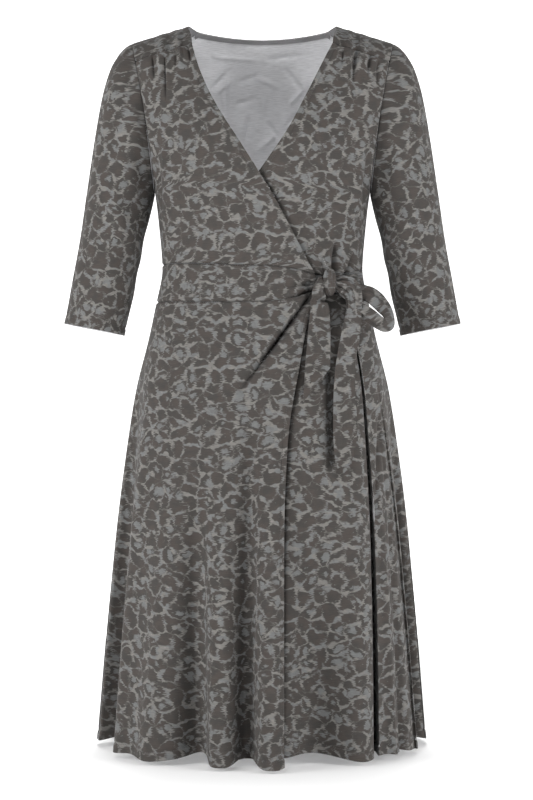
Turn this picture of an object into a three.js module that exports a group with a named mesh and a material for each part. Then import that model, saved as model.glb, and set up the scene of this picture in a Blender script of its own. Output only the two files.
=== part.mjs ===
import * as THREE from 'three';
import { mergeVertices } from 'three/addons/utils/BufferGeometryUtils.js';

// A wrap dress in stretch jersey, filled out as it is worn, with nobody in it.
// Millimetres. +X is the wearer's left, -Y the front and +Z up. The origin lies midway between the two neck
// points, at the top of the shoulders, where the wearer holds the dress.

// Cloth
const WALL = 1.6;
const SEAM_GAP = 0.3;
const LAYER = WALL + 0.9;
const RISE_SHARE = 0.33;
const HIDDEN_DROP = 1.2;
const HIDDEN_FOLD = 0.6;
const HIDDEN_SKIRT = 7;
const YOKE_GAP = 0.85;
const BINDING_WALL = 1.2;

// Shoulders and neck
const NECK_X = 103.6;
const TIP_X = 182.7;
const TIP_Z = -24;
const ROLL = 60;
const COLLAR_RISE = 0.35;
const BACK_NECK_Z = -8;
const FRONT_SEAM = { neckX: 97, neckZ: -31, armX: 174, armZ: -53 };
const BACK_SEAM = { neckX: 92, neckZ: -2, armX: 173, armZ: -50 };
const BINDING_HEIGHT = 6;

// Rows of the bodice lie closer together towards the shoulder, where it rounds over
const ROWS_TO_SHOULDER = 1.7;

// Armhole, an oval hollowed a little towards the body
const ARMPIT_X = 150;
const ARMPIT_Z = -234;
const ARMHOLE_DEPTH = 58;
const ARMHOLE_HOLLOW = 4;

// Levels
const BAND_TOP = -333;
const BAND_BOTTOM = -385;
const HEM = -996;
const HEM_DROP = 0.22;

// Body rings, from the shoulders down: half the width, the depth in front and behind, and how square the ring is
const RINGS = [
  { z: 10, half: 190, front: 60, back: 62, square: 2.5 },
  { z: -31, half: 185, front: 74, back: 74, square: 2.5 },
  { z: -70, half: 180, front: 86, back: 84, square: 2.5 },
  { z: -120, half: 175, front: 100, back: 92, square: 2.5 },
  { z: -185, half: 160, front: 106, back: 94, square: 2.4 },
  { z: -234, half: 150, front: 106, back: 92, square: 2.4 },
  { z: -284, half: 144, front: 101, back: 86, square: 2.3 },
  { z: -333, half: 140, front: 97, back: 82, square: 2.2 },
  { z: -352, half: 141, front: 98, back: 84, square: 2.2 },
  { z: -385, half: 148, front: 102, back: 94, square: 2.15 },
  { z: -437, half: 159, front: 112, back: 112, square: 2.1 },
  { z: -505, half: 176, front: 126, back: 131, square: 2.05 },
  { z: -585, half: 189, front: 142, back: 145, square: 2 },
  { z: -678, half: 201, front: 158, back: 158, square: 2 },
  { z: -780, half: 211, front: 172, back: 170, square: 2 },
  { z: -858, half: 218, front: 181, back: 179, square: 2 },
  { z: -1010, half: 231, front: 196, back: 194, square: 2 },
];

// Bust
const BUST = { x: 74, z: -188, wide: 52, high: 62, out: 15 };

// Free edge of the over panel, from the neck point down to the hem
const WRAP_EDGE = [
  { z: -1010, x: 25 },
  { z: -692, x: 28 },
  { z: -603, x: 32 },
  { z: -547, x: 37 },
  { z: -480, x: 49 },
  { z: -423, x: 59 },
  { z: -387, x: 68 },
  { z: -352, x: 71 },
  { z: -335, x: 62 },
  { z: -255, x: 20 },
  { z: -213, x: -5 },
  { z: -180, x: -26 },
  { z: -122, x: -62 },
  { z: -74, x: -84 },
  { z: -31, x: -97 },
];

// Edge of the under panel, which lies on the wearer's skin side of the over panel below the bust
const UNDER_EDGE = [
  { z: -1010, x: -58 },
  { z: -600, x: -60 },
  { z: -385, x: -62 },
  { z: -333, x: -62 },
  { z: -260, x: -36 },
  { z: -213, x: -5 },
  { z: -156, x: 34 },
  { z: -104, x: 61 },
  { z: -63, x: 81 },
  { z: -31, x: 97 },
];

// Seams of the midriff band in front, which draws together towards the knot
const BAND_SEAMS = [
  { x: -160, top: -333, bottom: -385 },
  { x: -80, top: -336, bottom: -388 },
  { x: -20, top: -339, bottom: -388 },
  { x: 20, top: -340, bottom: -386 },
  { x: 50, top: -345, bottom: -380 },
  { x: 72, top: -351, bottom: -373 },
  { x: 95, top: -352, bottom: -374 },
  { x: 160, top: -336, bottom: -385 },
];

// Skirt folds. Angles run from the wearer's left side (0) past the front (90) and right side (180) to the back
// (270). A fold starts at the level top and grows to its full depth at the hem: out is a tube, in a trough.
const SKIRT_FOLDS = [
  { top: -560, topAngle: 4, hemAngle: 6, width: 9, out: 9 },
  { top: -520, topAngle: 26, hemAngle: 27, width: 6, out: -16 },
  { top: -480, topAngle: 34, hemAngle: 39, width: 6, out: 13 },
  { top: -455, topAngle: 40, hemAngle: 49, width: 4.2, out: -30 },
  { top: -470, topAngle: 48, hemAngle: 57, width: 6.5, out: 20 },
  { top: -600, topAngle: 70, hemAngle: 72, width: 10, out: -26 },
  { top: -560, topAngle: 85, hemAngle: 86, width: 4.8, out: 30 },
  { top: -545, topAngle: 95.5, hemAngle: 96, width: 4.2, out: -16 },
  { top: -600, topAngle: 106, hemAngle: 103.5, width: 5, out: 27 },
  { top: -640, topAngle: 114, hemAngle: 113, width: 5.5, out: -25 },
  { top: -600, topAngle: 126, hemAngle: 128, width: 7.5, out: 24 },
  { top: -520, topAngle: 150, hemAngle: 155, width: 6, out: -24 },
  { top: -560, topAngle: 176, hemAngle: 174, width: 8, out: 10 },
  { top: -620, topAngle: 193, hemAngle: 192, width: 6, out: -18 },
  { top: -560, topAngle: 207, hemAngle: 208, width: 7, out: 20 },
  { top: -600, topAngle: 223, hemAngle: 222, width: 5.5, out: -22 },
  { top: -520, topAngle: 238, hemAngle: 237, width: 6.5, out: 24 },
  { top: -640, topAngle: 252, hemAngle: 252, width: 5.5, out: -21 },
  { top: -540, topAngle: 267, hemAngle: 268, width: 6.5, out: 26 },
  { top: -620, topAngle: 283, hemAngle: 284, width: 6, out: -22 },
  { top: -560, topAngle: 300, hemAngle: 301, width: 7.5, out: 22 },
  { top: -600, topAngle: 318, hemAngle: 318, width: 6, out: -24 },
  { top: -540, topAngle: 335, hemAngle: 334, width: 7, out: 16 },
  { top: -620, topAngle: 350, hemAngle: 350, width: 5, out: -12 },
];
const FOLD_GROWTH = 1.25;
const EDGE_FLARE = { out: 14, reach: 0.22, top: -560 };

// Broad creases of the fronts, from one end to the other: width, and out (ridge) or in (trough) in the middle
const CREASES = [
  { fromX: 66, fromZ: -398, toX: -24, toZ: -500, width: 11, out: -5 },
  { fromX: 60, fromZ: -386, toX: -20, toZ: -430, width: 12, out: 4 },
  { fromX: 84, fromZ: -392, toX: 96, toZ: -560, width: 10, out: -5 },
  { fromX: -138, fromZ: -238, toX: -64, toZ: -232, width: 11, out: -5 },
  { fromX: 138, fromZ: -236, toX: 60, toZ: -250, width: 11, out: -5 },
  { fromX: 30, fromZ: -236, toX: 72, toZ: -338, width: 10, out: -4 },
  { fromX: 96, fromZ: -262, toX: 92, toZ: -340, width: 10, out: -5 },
  { fromX: -60, fromZ: -262, toX: 40, toZ: -334, width: 13, out: -3.5 },
];

// Gathers below each front yoke: distance from the centre line, length, width and depth
const GATHERS = [
  { x: 108, length: 34, width: 4.5, out: -3 },
  { x: 118, length: 42, width: 4.5, out: 2.5 },
  { x: 127, length: 60, width: 4.5, out: -3.5 },
  { x: 137, length: 52, width: 5, out: 2.5 },
  { x: 147, length: 44, width: 4.5, out: -3 },
];

// Sleeve rings from the armhole to the cuff: the outermost and the underarm point, half the depth, and how far
// the ring's middle lies in front of the shoulder
const SLEEVE_RINGS = [
  { outerX: 183.0, outerZ: -24, underX: 150.3, underZ: -234, depth: 58, forward: 0 },
  { outerX: 193, outerZ: -31, underX: 151.5, underZ: -239.5, depth: 60, forward: 0 },
  { outerX: 203, outerZ: -43, underX: 153.5, underZ: -249, depth: 61, forward: 0 },
  { outerX: 213.5, outerZ: -63, underX: 156.5, underZ: -262, depth: 60, forward: 1 },
  { outerX: 224.5, outerZ: -102, underX: 160.5, underZ: -279, depth: 58, forward: 2 },
  { outerX: 236.5, outerZ: -172, underX: 166.5, underZ: -306, depth: 54, forward: 4 },
  { outerX: 245, outerZ: -232, underX: 172, underZ: -338, depth: 51, forward: 7 },
  { outerX: 254, outerZ: -297, underX: 179, underZ: -374, depth: 48, forward: 11 },
  { outerX: 264.5, outerZ: -358, underX: 186.5, underZ: -406, depth: 45, forward: 15 },
  { outerX: 275, outerZ: -416, underX: 192.5, underZ: -432.6, depth: 43, forward: 19 },
];

// Creases round a sleeve: where along it (0 armhole, 1 cuff), the angle it lies at (0 outer side, 90 front,
// 180 underarm), its reach along and round, and out or in
const SLEEVE_CREASES = [
  { at: 0.10, angle: 62, along: 0.12, round: 13, out: -4.5 },
  { at: 0.16, angle: 90, along: 0.16, round: 12, out: 3 },
  { at: 0.30, angle: 128, along: 0.13, round: 16, out: -5 },
  { at: 0.52, angle: 142, along: 0.07, round: 40, out: -4 },
  { at: 0.62, angle: 120, along: 0.05, round: 38, out: 3 },
  { at: 0.70, angle: 148, along: 0.05, round: 42, out: -4 },
  { at: 0.60, angle: 300, along: 0.06, round: 40, out: -4 },
  { at: 0.72, angle: 268, along: 0.06, round: 38, out: 3 },
  { at: 0.12, angle: 292, along: 0.12, round: 14, out: -4 },
  { at: 0.88, angle: 60, along: 0.05, round: 40, out: 2 },
];

// Tie. Each stretch is a strip between two edges, a and b, in rows along it.
const TIE_WALL = 2;
const KNOT = { x: 91, y: -91.6, z: -362, wide: 15, high: 36, deep: 19 };
const KNOT_ROUNDNESS = 0.8;
const TIE_HOOK = [
  { ax: 83.2, ay: -93, az: -357, bx: 83.2, by: -93, bz: -371 },
  { ax: 75, ay: -99, az: -356, bx: 79, by: -97, bz: -378 },
  { ax: 67, ay: -104, az: -374, bx: 84, by: -98, bz: -386 },
  { ax: 66, ay: -107, az: -394, bx: 90, by: -97, bz: -396 },
  { ax: 62, ay: -112, az: -430, bx: 92, by: -101, bz: -424 },
  { ax: 58, ay: -123, az: -478, bx: 92, by: -107, bz: -452 },
  { ax: 55, ay: -134, az: -525, bx: 91.5, by: -115, bz: -479 },
];
const TIE_TAIL_LONG = [
  { ax: 120, ay: -104, az: -364, bx: 135, by: -102, bz: -362 },
  { ax: 119.5, ay: -107, az: -386, bx: 135.5, by: -109, bz: -386 },
  { ax: 112, ay: -108, az: -409, bx: 133.5, by: -110, bz: -407 },
  { ax: 106.5, ay: -109, az: -434, bx: 131.5, by: -108, bz: -432 },
  { ax: 101, ay: -113, az: -460, bx: 127.5, by: -108, bz: -461 },
  { ax: 96.5, ay: -119, az: -502, bx: 124.5, by: -111, bz: -502 },
  { ax: 95.5, ay: -126, az: -545, bx: 127.5, by: -117, bz: -540 },
  { ax: 95.5, ay: -134, az: -580, bx: 126.5, by: -124, bz: -576 },
  { ax: 98.5, ay: -140, az: -614, bx: 119.5, by: -132, bz: -608 },
];
const TIE_LOOP = [
  { ax: 98.9, ay: -92, az: -355, bx: 98.9, by: -94, bz: -373 },
  { ax: 112, ay: -90, az: -358, bx: 112, by: -98, bz: -384 },
  { ax: 125, ay: -86, az: -364, bx: 124, by: -99, bz: -386 },
  { ax: 140, ay: -80, az: -368, bx: 136, by: -104, bz: -380 },
  { ax: 154, ay: -76, az: -377, bx: 149, by: -106, bz: -390 },
  { ax: 167, ay: -74, az: -390, bx: 160, by: -109, bz: -400 },
  { ax: 176, ay: -76, az: -405, bx: 168, by: -113, bz: -408 },
  { ax: 178, ay: -86, az: -420, bx: 171, by: -119, bz: -417 },
  { ax: 171, ay: -94, az: -429, bx: 164, by: -122, bz: -414 },
  { ax: 157, ay: -96, az: -423, bx: 153, by: -120, bz: -403 },
  { ax: 142, ay: -95, az: -412, bx: 141, by: -112, bz: -393 },
  { ax: 129, ay: -93, az: -403, bx: 130, by: -103, bz: -388 },
  { ax: 117, ay: -91, az: -398, bx: 118, by: -99, bz: -389 },
];
const GATHERED_TIE = {
  fromX: 99.5, toX: 141, knotTop: -354, knotBottom: -379, sideTop: -346, sideBottom: -388, stand: 1.4, pleats: 4, pleatDepth: 1.6,
};

// Mesh steps across and along each piece
const STEPS = {
  bodice: [16, 13],
  bodiceBack: [20, 13],
  yoke: [7, 8],
  sleeve: [22, 12],
  band: [28, 2],
  bandBack: [20, 2],
  skirtOver: [38, 8],
  skirtUnder: [40, 8],
  skirtBack: [60, 8],
  binding: [24, 1],
  strip: [2, 16],
  gathers: [12, 6],
};

const PRINT = new THREE.MeshStandardMaterial({ color: 0x6b6763, roughness: 0.9, metalness: 0 });
const BINDING = new THREE.MeshStandardMaterial({ color: 0x6c6c6c, roughness: 0.9, metalness: 0 });

const radians = (degrees) => (degrees * Math.PI) / 180;
const mix = (from, to, share) => from + (to - from) * share;
const clamp = (value, low, high) => Math.min(high, Math.max(low, value));
const smooth = (share) => share * share * (3 - 2 * share);
const power = (base, exponent) => Math.sign(base) * Math.abs(base) ** exponent;

// Smooth value of a table's column at a place along its key column
function read(table, key, column, at) {
  const rising = table[0][key] < table[table.length - 1][key];
  const rows = rising ? table : [...table].reverse();
  const place = clamp(at, rows[0][key], rows[rows.length - 1][key]);
  let i = 0;
  while (i < rows.length - 2 && place > rows[i + 1][key]) {
    i += 1;
  }
  const slope = (k) => {
    const before = rows[Math.max(0, k - 1)];
    const after = rows[Math.min(rows.length - 1, k + 1)];
    return (after[column] - before[column]) / (after[key] - before[key]);
  };
  const step = rows[i + 1][key] - rows[i][key];
  const s = (place - rows[i][key]) / step;
  const h00 = (1 + 2 * s) * (1 - s) ** 2;
  const h10 = s * (1 - s) ** 2;
  const h01 = s * s * (3 - 2 * s);
  const h11 = s * s * (s - 1);
  return h00 * rows[i][column] + h10 * step * slope(i) + h01 * rows[i + 1][column] + h11 * step * slope(i + 1);
}

// Smooth value of a table's column where its rows are evenly spaced, from 0 at the first to 1 at the last
function readEven(table, column, share) {
  const numbered = table.map((row, i) => ({ place: i / (table.length - 1), value: row[column] }));
  return read(numbered, 'place', 'value', share);
}

// Armhole edge at a level
function armhole(z) {
  const middle = (TIP_Z + ARMPIT_Z) / 2;
  const reach = (TIP_Z - ARMPIT_Z) / 2;
  const s = clamp((z - middle) / reach, -1, 1);
  const x = mix(ARMPIT_X, TIP_X, (s + 1) / 2) - ARMHOLE_HOLLOW * (1 - s * s);
  return { x, depth: ARMHOLE_DEPTH * Math.sqrt(1 - s * s) };
}

// Top line of the shoulders
function shoulderTop(x) {
  const out = Math.abs(x) - NECK_X;
  return out < 0 ? -out * COLLAR_RISE : (out / (TIP_X - NECK_X)) * TIP_Z;
}

// How far the rounding of the shoulder has opened at a point below the top line, from 0 to 1
function rollAt(x, z) {
  const below = clamp((shoulderTop(x) - z) / ROLL, 0, 1);
  return Math.sqrt(1 - (1 - below) ** 2);
}

function ringAt(face, z) {
  const depth = read(RINGS, 'z', face, z);
  const square = read(RINGS, 'z', 'square', z);
  if (z <= ARMPIT_Z) {
    return { depth, square, half: read(RINGS, 'z', 'half', z) };
  }
  const level = Math.min(z, TIP_Z - 3);
  const edge = armhole(level);
  const share = edge.depth / (read(RINGS, 'z', face, level) * rollAt(edge.x, level));
  return { depth, square, half: edge.x / (1 - share ** square) ** (1 / square) };
}

// Skirt folds at an angle round the body, and the same for the fronts' creases
function foldOut(angle, z) {
  let out = 0;
  for (const fold of SKIRT_FOLDS) {
    const grown = clamp((fold.top - z) / (fold.top - HEM), 0, 1.05);
    if (grown > 0) {
      const centre = mix(fold.topAngle, fold.hemAngle, Math.min(grown, 1));
      const off = ((((angle - centre + 540) % 360) - 180) / fold.width);
      out += fold.out * grown ** FOLD_GROWTH * Math.exp(-off * off);
    }
  }
  return out;
}

function creaseOut(x, z) {
  let out = 0;
  for (const crease of CREASES) {
    const runX = crease.toX - crease.fromX;
    const runZ = crease.toZ - crease.fromZ;
    const length = Math.hypot(runX, runZ);
    const along = ((x - crease.fromX) * runX + (z - crease.fromZ) * runZ) / (length * length);
    const off = ((x - crease.fromX) * runZ - (z - crease.fromZ) * runX) / length / crease.width;
    if (along > 0 && along < 1) {
      out += crease.out * Math.sin(Math.PI * along) * Math.exp(-off * off);
    }
  }
  for (const gather of GATHERS) {
    const below = (frontSeamZ(x) - z) / gather.length;
    const off = (Math.abs(x) - gather.x + below * 6) / gather.width;
    if (below < 1) {
      out += gather.out * (1 - Math.max(0, below)) * Math.exp(-off * off);
    }
  }
  return out;
}

function bustOut(x, z) {
  const across = (Math.abs(x) - BUST.x) / BUST.wide;
  const up = (z - BUST.z) / BUST.high;
  return BUST.out * Math.exp(-across * across - up * up);
}

// Point of the body's surface. angle runs from 0 at the wearer's left to 180 degrees at the right, over the
// front or the back.
function bodyPoint(face, angle, z, moreOut = 0) {
  const ring = ringAt(face, z);
  const side = face === 'front' ? -1 : 1;
  const x = ring.half * power(Math.cos(angle), 2 / ring.square);
  let y = ring.depth * power(Math.sin(angle), 2 / ring.square) * rollAt(x, z);
  if (face === 'front') {
    y += (bustOut(x, z) + creaseOut(x, z)) * Math.sin(angle);
  }
  const degrees = (angle * 180) / Math.PI;
  const out = foldOut(face === 'front' ? degrees : 360 - degrees, z) + moreOut;
  const towards = new THREE.Vector2(Math.cos(angle) / ring.half, Math.sin(angle) / ring.depth).normalize();
  return new THREE.Vector3(x + towards.x * out, side * (y + towards.y * out), z);
}

// Angle at which a ring passes a distance from the centre line
function angleAt(face, x, z) {
  const ring = ringAt(face, z);
  return Math.acos(clamp(power(x / ring.half, ring.square / 2), -1, 1));
}

// Angle of the side seam or armhole, half a seam gap in from it
function sideAngle(face, z) {
  const ring = ringAt(face, z);
  if (z <= ARMPIT_Z) {
    return Math.asin((SEAM_GAP / 2 / ring.depth) ** (ring.square / 2));
  }
  return angleAt(face, armhole(z).x - SEAM_GAP / 2, z);
}

function frontSeamZ(x) {
  const share = (Math.abs(x) - FRONT_SEAM.neckX) / (FRONT_SEAM.armX - FRONT_SEAM.neckX);
  return mix(FRONT_SEAM.neckZ, FRONT_SEAM.armZ, Math.max(0, share));
}

function backTopZ(x) {
  const out = Math.abs(x);
  if (out < BACK_SEAM.neckX) {
    return mix(BACK_NECK_Z, BACK_SEAM.neckZ, (out / BACK_SEAM.neckX) ** 2);
  }
  return mix(BACK_SEAM.neckZ, BACK_SEAM.armZ, (out - BACK_SEAM.neckX) / (BACK_SEAM.armX - BACK_SEAM.neckX));
}

// Closed wall of cloth: an outer face of points from surface(across, along), an inner face a wall's thickness
// in from it, and the rims between them. inward gives the side that the inner face lies on.
function clothWall(name, surface, [across, along], options = {}) {
  const { material = PRINT, thickness = WALL, lift = 0, round = false, inward = axisOf } = options;
  const step = 1e-3;
  const columns = round ? across : across + 1;
  const points = [];
  for (let j = 0; j <= along; j += 1) {
    for (let i = 0; i < columns; i += 1) {
      points.push(wallPoint(surface, i / across, j / along, { step, round, inward, thickness, lift }));
    }
  }
  const count = points.length;
  const vertices = [...points.map((p) => p.outer), ...points.map((p) => p.inner)];
  const triangles = [];
  const at = (i, j) => j * columns + (i % columns);
  const quad = (a, b, c, d) => triangles.push([a, b, c], [a, c, d]);
  for (let j = 0; j < along; j += 1) {
    for (let i = 0; i < across; i += 1) {
      const corners = [at(i, j), at(i + 1, j), at(i + 1, j + 1), at(i, j + 1)];
      quad(...corners);
      quad(...corners.map((k) => k + count).reverse());
    }
  }
  const rim = (a, b) => quad(b, a, a + count, b + count);
  for (let i = 0; i < across; i += 1) {
    rim(at(i, 0), at(i + 1, 0));
    rim(at(i + 1, along), at(i, along));
  }
  for (let j = 0; j < along && !round; j += 1) {
    rim(at(across, j), at(across, j + 1));
    rim(at(0, j + 1), at(0, j));
  }
  return solid(name, vertices, triangles, material);
}

function wallPoint(surface, u, v, { step, round, inward, thickness, lift }) {
  const low = (share) => (share - step < 0 ? share : share - step);
  const high = (share) => (share + step > 1 ? share : share + step);
  const before = surface(round ? (u - step + 1) % 1 : low(u), v);
  const after = surface(round ? (u + step) % 1 : high(u), v);
  const below = surface(u, low(v));
  const above = surface(u, high(v));
  const normal = after.clone().sub(before).cross(above.clone().sub(below)).normalize();
  const outer = surface(u, v);
  if (normal.dot(inward(outer, u, v)) > 0) {
    normal.negate();
  }
  outer.addScaledVector(normal, lift);
  return { outer, inner: outer.clone().addScaledVector(normal, -thickness) };
}

function axisOf(point) {
  return new THREE.Vector3(-point.x, -point.y, 0);
}

function solid(name, vertices, triangles, material) {
  let volume = 0;
  for (const [a, b, c] of triangles) {
    volume += vertices[a].dot(vertices[b].clone().cross(vertices[c]));
  }
  const faces = volume < 0 ? triangles.map(([a, b, c]) => [a, c, b]) : triangles;
  const geometry = new THREE.BufferGeometry();
  geometry.setAttribute('position', new THREE.Float32BufferAttribute(vertices.flatMap((p) => p.toArray()), 3));
  geometry.setIndex(faces.flat());
  geometry.computeVertexNormals();
  const mesh = new THREE.Mesh(geometry, material);
  mesh.name = name;
  return mesh;
}

// Front panel from its side edge (across 0) to its free edge (across 1), between two level lines
function frontPanel(side, edgeTable, bottomAt, topAt, liftAt) {
  return (across, along) => {
    let z = mix(BAND_BOTTOM, BAND_TOP, 0.5);
    let angle = 0;
    for (let pass = 0; pass < 6; pass += 1) {
      const sideward = sideAngle('front', z);
      const from = side > 0 ? sideward : Math.PI - sideward;
      angle = mix(from, angleAt('front', read(edgeTable, 'z', 'x', z), z), across);
      const x = ringAt('front', z).half * power(Math.cos(angle), 2 / ringAt('front', z).square);
      z = mix(bottomAt(x, angle), topAt(x, angle), along);
    }
    return bodyPoint('front', angle, z, liftAt(across, z, angle));
  };
}

// Level of the hem, which hangs a little lower where a fold stands out
function hemAt(face, angle) {
  const degrees = (angle * 180) / Math.PI;
  return HEM - HEM_DROP * foldOut(face === 'front' ? degrees : 360 - degrees, HEM);
}

// The over panel rises from the surface at its side seam to lie on the under panel, and its free edge stands off
function overLift(across, z) {
  const onUnder = smooth(clamp(across / RISE_SHARE, 0, 1)) * LAYER;
  const flare = EDGE_FLARE.out * clamp((EDGE_FLARE.top - z) / (EDGE_FLARE.top - HEM), 0, 1);
  return onUnder + flare * smooth(clamp(1 - (1 - across) / EDGE_FLARE.reach, 0, 1));
}

// The under panel lies a little further in where the over panel hides it, and takes less of its folds
function underLift(across, z, angle) {
  const edge = angleAt('front', read(WRAP_EDGE, 'z', 'x', z), z);
  const hidden = smooth(clamp((angle - edge) / radians(5), 0, 1));
  const fold = Math.max(0, foldOut((angle * 180) / Math.PI, z));
  const drop = z < BAND_BOTTOM ? HIDDEN_DROP + HIDDEN_FOLD * fold + HIDDEN_SKIRT * skirtShare(z) : HIDDEN_DROP;
  return -hidden * drop;
}

// Share of the way down from the band to the hem
function skirtShare(z) {
  return clamp((BAND_BOTTOM - z) / (BAND_BOTTOM - HEM), 0, 1);
}

const bandTopAt = (x) => read(BAND_SEAMS, 'x', 'top', x);
const bandBottomAt = (x) => read(BAND_SEAMS, 'x', 'bottom', x);
const half = SEAM_GAP / 2;
const towardsTop = (along) => 1 - (1 - along) ** ROWS_TO_SHOULDER;

function bodiceFronts() {
  const topAt = (x) => frontSeamZ(x) - YOKE_GAP;
  const bottomAt = (x) => bandTopAt(x) + half;
  const over = frontPanel(-1, WRAP_EDGE, bottomAt, topAt, overLift);
  const under = frontPanel(1, UNDER_EDGE, bottomAt, topAt, underLift);
  return [
    clothWall('bodice_front_right', (across, along) => over(across, towardsTop(along)), STEPS.bodice),
    clothWall('bodice_front_left', (across, along) => under(across, towardsTop(along)), STEPS.bodice),
  ];
}

function bands() {
  const topAt = (x) => bandTopAt(x) - SEAM_GAP;
  const bottomAt = (x) => bandBottomAt(x) + SEAM_GAP;
  return [
    clothWall('band_over', frontPanel(-1, WRAP_EDGE, bottomAt, topAt, overLift), STEPS.band),
    clothWall('band_under', frontPanel(1, UNDER_EDGE, bottomAt, topAt, underLift), STEPS.band),
    clothWall('band_back', backPanel(() => BAND_BOTTOM + half, () => BAND_TOP - half), STEPS.bandBack),
  ];
}

function skirts() {
  const topAt = (x) => bandBottomAt(x) - half;
  const frontHem = (x, angle) => hemAt('front', angle);
  const backHem = (x, angle) => hemAt('back', angle);
  return [
    clothWall('skirt_front_right', frontPanel(-1, WRAP_EDGE, frontHem, topAt, overLift), STEPS.skirtOver),
    clothWall('skirt_front_left', frontPanel(1, UNDER_EDGE, frontHem, topAt, underLift), STEPS.skirtUnder),
    clothWall('skirt_back', backPanel(backHem, () => BAND_BOTTOM - half), STEPS.skirtBack),
  ];
}

// Back panel from the left side edge (across 0) to the right, between two level lines
function backPanel(bottomAt, topAt) {
  return (across, along) => {
    let z = BAND_TOP;
    let angle = 0;
    for (let pass = 0; pass < 6; pass += 1) {
      const sideward = sideAngle('back', z);
      angle = mix(sideward, Math.PI - sideward, across);
      const x = ringAt('back', z).half * power(Math.cos(angle), 2 / ringAt('back', z).square);
      z = mix(bottomAt(x, angle), topAt(x, angle), along);
    }
    return bodyPoint('back', angle, z);
  };
}

function bodiceBack() {
  const surface = backPanel(() => BAND_TOP + half, (x) => backTopZ(x) - YOKE_GAP);
  return clothWall('bodice_back', (across, along) => surface(across, towardsTop(along)), STEPS.bodiceBack);
}

// Shoulder yoke: across runs from the neck to the armhole, along from the front seam over the top to the back
function yoke(name, side) {
  const surface = (across, along) => {
    const neckX = along < 0.5
      ? mix(FRONT_SEAM.neckX, NECK_X, smooth(along * 2))
      : mix(NECK_X, BACK_SEAM.neckX, (along * 2 - 1) ** 2);
    let x = mix(neckX, TIP_X, across);
    let z = 0;
    let turn = 0;
    for (let pass = 0; pass < 6; pass += 1) {
      const frontTurn = Math.acos(1 - (shoulderTop(x) - frontSeamZ(x) - half) / ROLL);
      const backTurn = Math.acos(1 - Math.max(0, shoulderTop(x) - backTopZ(x) - half) / ROLL);
      turn = mix(-frontTurn, backTurn, along);
      z = shoulderTop(x) - ROLL * (1 - Math.cos(turn));
      x = mix(neckX, armhole(z).x - half, across);
    }
    const face = turn < 0 ? 'front' : 'back';
    const point = bodyPoint(face, angleAt(face, x, z), z);
    return new THREE.Vector3(point.x * side, point.y, point.z);
  };
  return clothWall(name, surface, STEPS.yoke, { inward: () => new THREE.Vector3(0, 0, -1) });
}

// Neck binding, on the inner side of the back's neck edge
function neckBinding() {
  const surface = (across, along) => {
    const x = mix(-BACK_SEAM.neckX + 2, BACK_SEAM.neckX - 2, across);
    const z = backTopZ(x) - 0.5 - BINDING_HEIGHT * (1 - along);
    const angle = angleAt('back', x, z);
    return bodyPoint('back', angle, z);
  };
  return clothWall('neck_binding', surface, STEPS.binding, {
    material: BINDING,
    thickness: BINDING_WALL,
    lift: -WALL - 3 * SEAM_GAP,
    inward: (point) => new THREE.Vector3(0, -point.y, -ROLL),
  });
}

function sleeveCrease(along, angle) {
  let out = 0;
  for (const crease of SLEEVE_CREASES) {
    const up = (along - crease.at) / crease.along;
    const off = (((angle - crease.angle + 540) % 360) - 180) / crease.round;
    out += crease.out * Math.exp(-up * up - off * off);
  }
  return out;
}

// Sleeve: across goes round it from the outer side by the front, along from the armhole to the cuff
function sleeve(name, side) {
  const size = (column, along) => readEven(SLEEVE_RINGS, column, along);
  const middleOf = (along) => new THREE.Vector3(
    (size('outerX', along) + size('underX', along)) / 2,
    -size('forward', along),
    (size('outerZ', along) + size('underZ', along)) / 2,
  );
  const surface = (across, along) => {
    const angle = across * 2 * Math.PI;
    const middle = middleOf(along);
    const outer = new THREE.Vector3(size('outerX', along), middle.y, size('outerZ', along)).sub(middle);
    const atArmhole = Math.max(0, 1 - along * 12);
    const crease = 1 + (sleeveCrease(along, across * 360) * (1 - atArmhole)) / size('depth', along);
    const point = middle.clone().addScaledVector(outer, Math.cos(angle) * crease);
    point.y -= size('depth', along) * Math.sin(angle) * crease;
    point.x += half - ARMHOLE_HOLLOW * Math.sin(angle) ** 2 * atArmhole;
    return point;
  };
  const inward = (point, u, v) => middleOf(v).sub(point);
  const mirror = new THREE.Vector3(side, 1, 1);
  return clothWall(name, (u, v) => surface(u, v).multiply(mirror), STEPS.sleeve, {
    round: true,
    inward: (point, u, v) => inward(point.clone().multiply(mirror), u, v).multiply(mirror),
  });
}

// Strip of the tie between its two edges
function tieStrip(name, rows, options = {}) {
  const value = (column, share) => readEven(rows, column, share);
  const surface = (across, along) => {
    const a = new THREE.Vector3(value('ax', along), value('ay', along), value('az', along));
    const b = new THREE.Vector3(value('bx', along), value('by', along), value('bz', along));
    return a.lerp(b, across);
  };
  return clothWall(name, surface, options.steps ?? STEPS.strip, {
    thickness: TIE_WALL,
    inward: () => new THREE.Vector3(0, 1, 0),
  });
}

function gatheredTie() {
  const { fromX, toX, knotTop, knotBottom, sideTop, sideBottom, stand, pleats, pleatDepth } = GATHERED_TIE;
  const surface = (across, along) => {
    const top = mix(knotTop, sideTop, along);
    const bottom = mix(knotBottom, sideBottom, along);
    const z = mix(bottom, top, across);
    const fromAngle = angleAt('front', fromX, z);
    const toAngle = Math.min(fromAngle, angleAt('front', toX, z) + radians(3));
    const pleat = pleatDepth * Math.cos(across * pleats * 2 * Math.PI) * (1 - along * 0.6);
    return bodyPoint('front', mix(fromAngle, toAngle, along), z, stand + pleatDepth + pleat);
  };
  return clothWall('tie_gathers', surface, STEPS.gathers);
}

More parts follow.
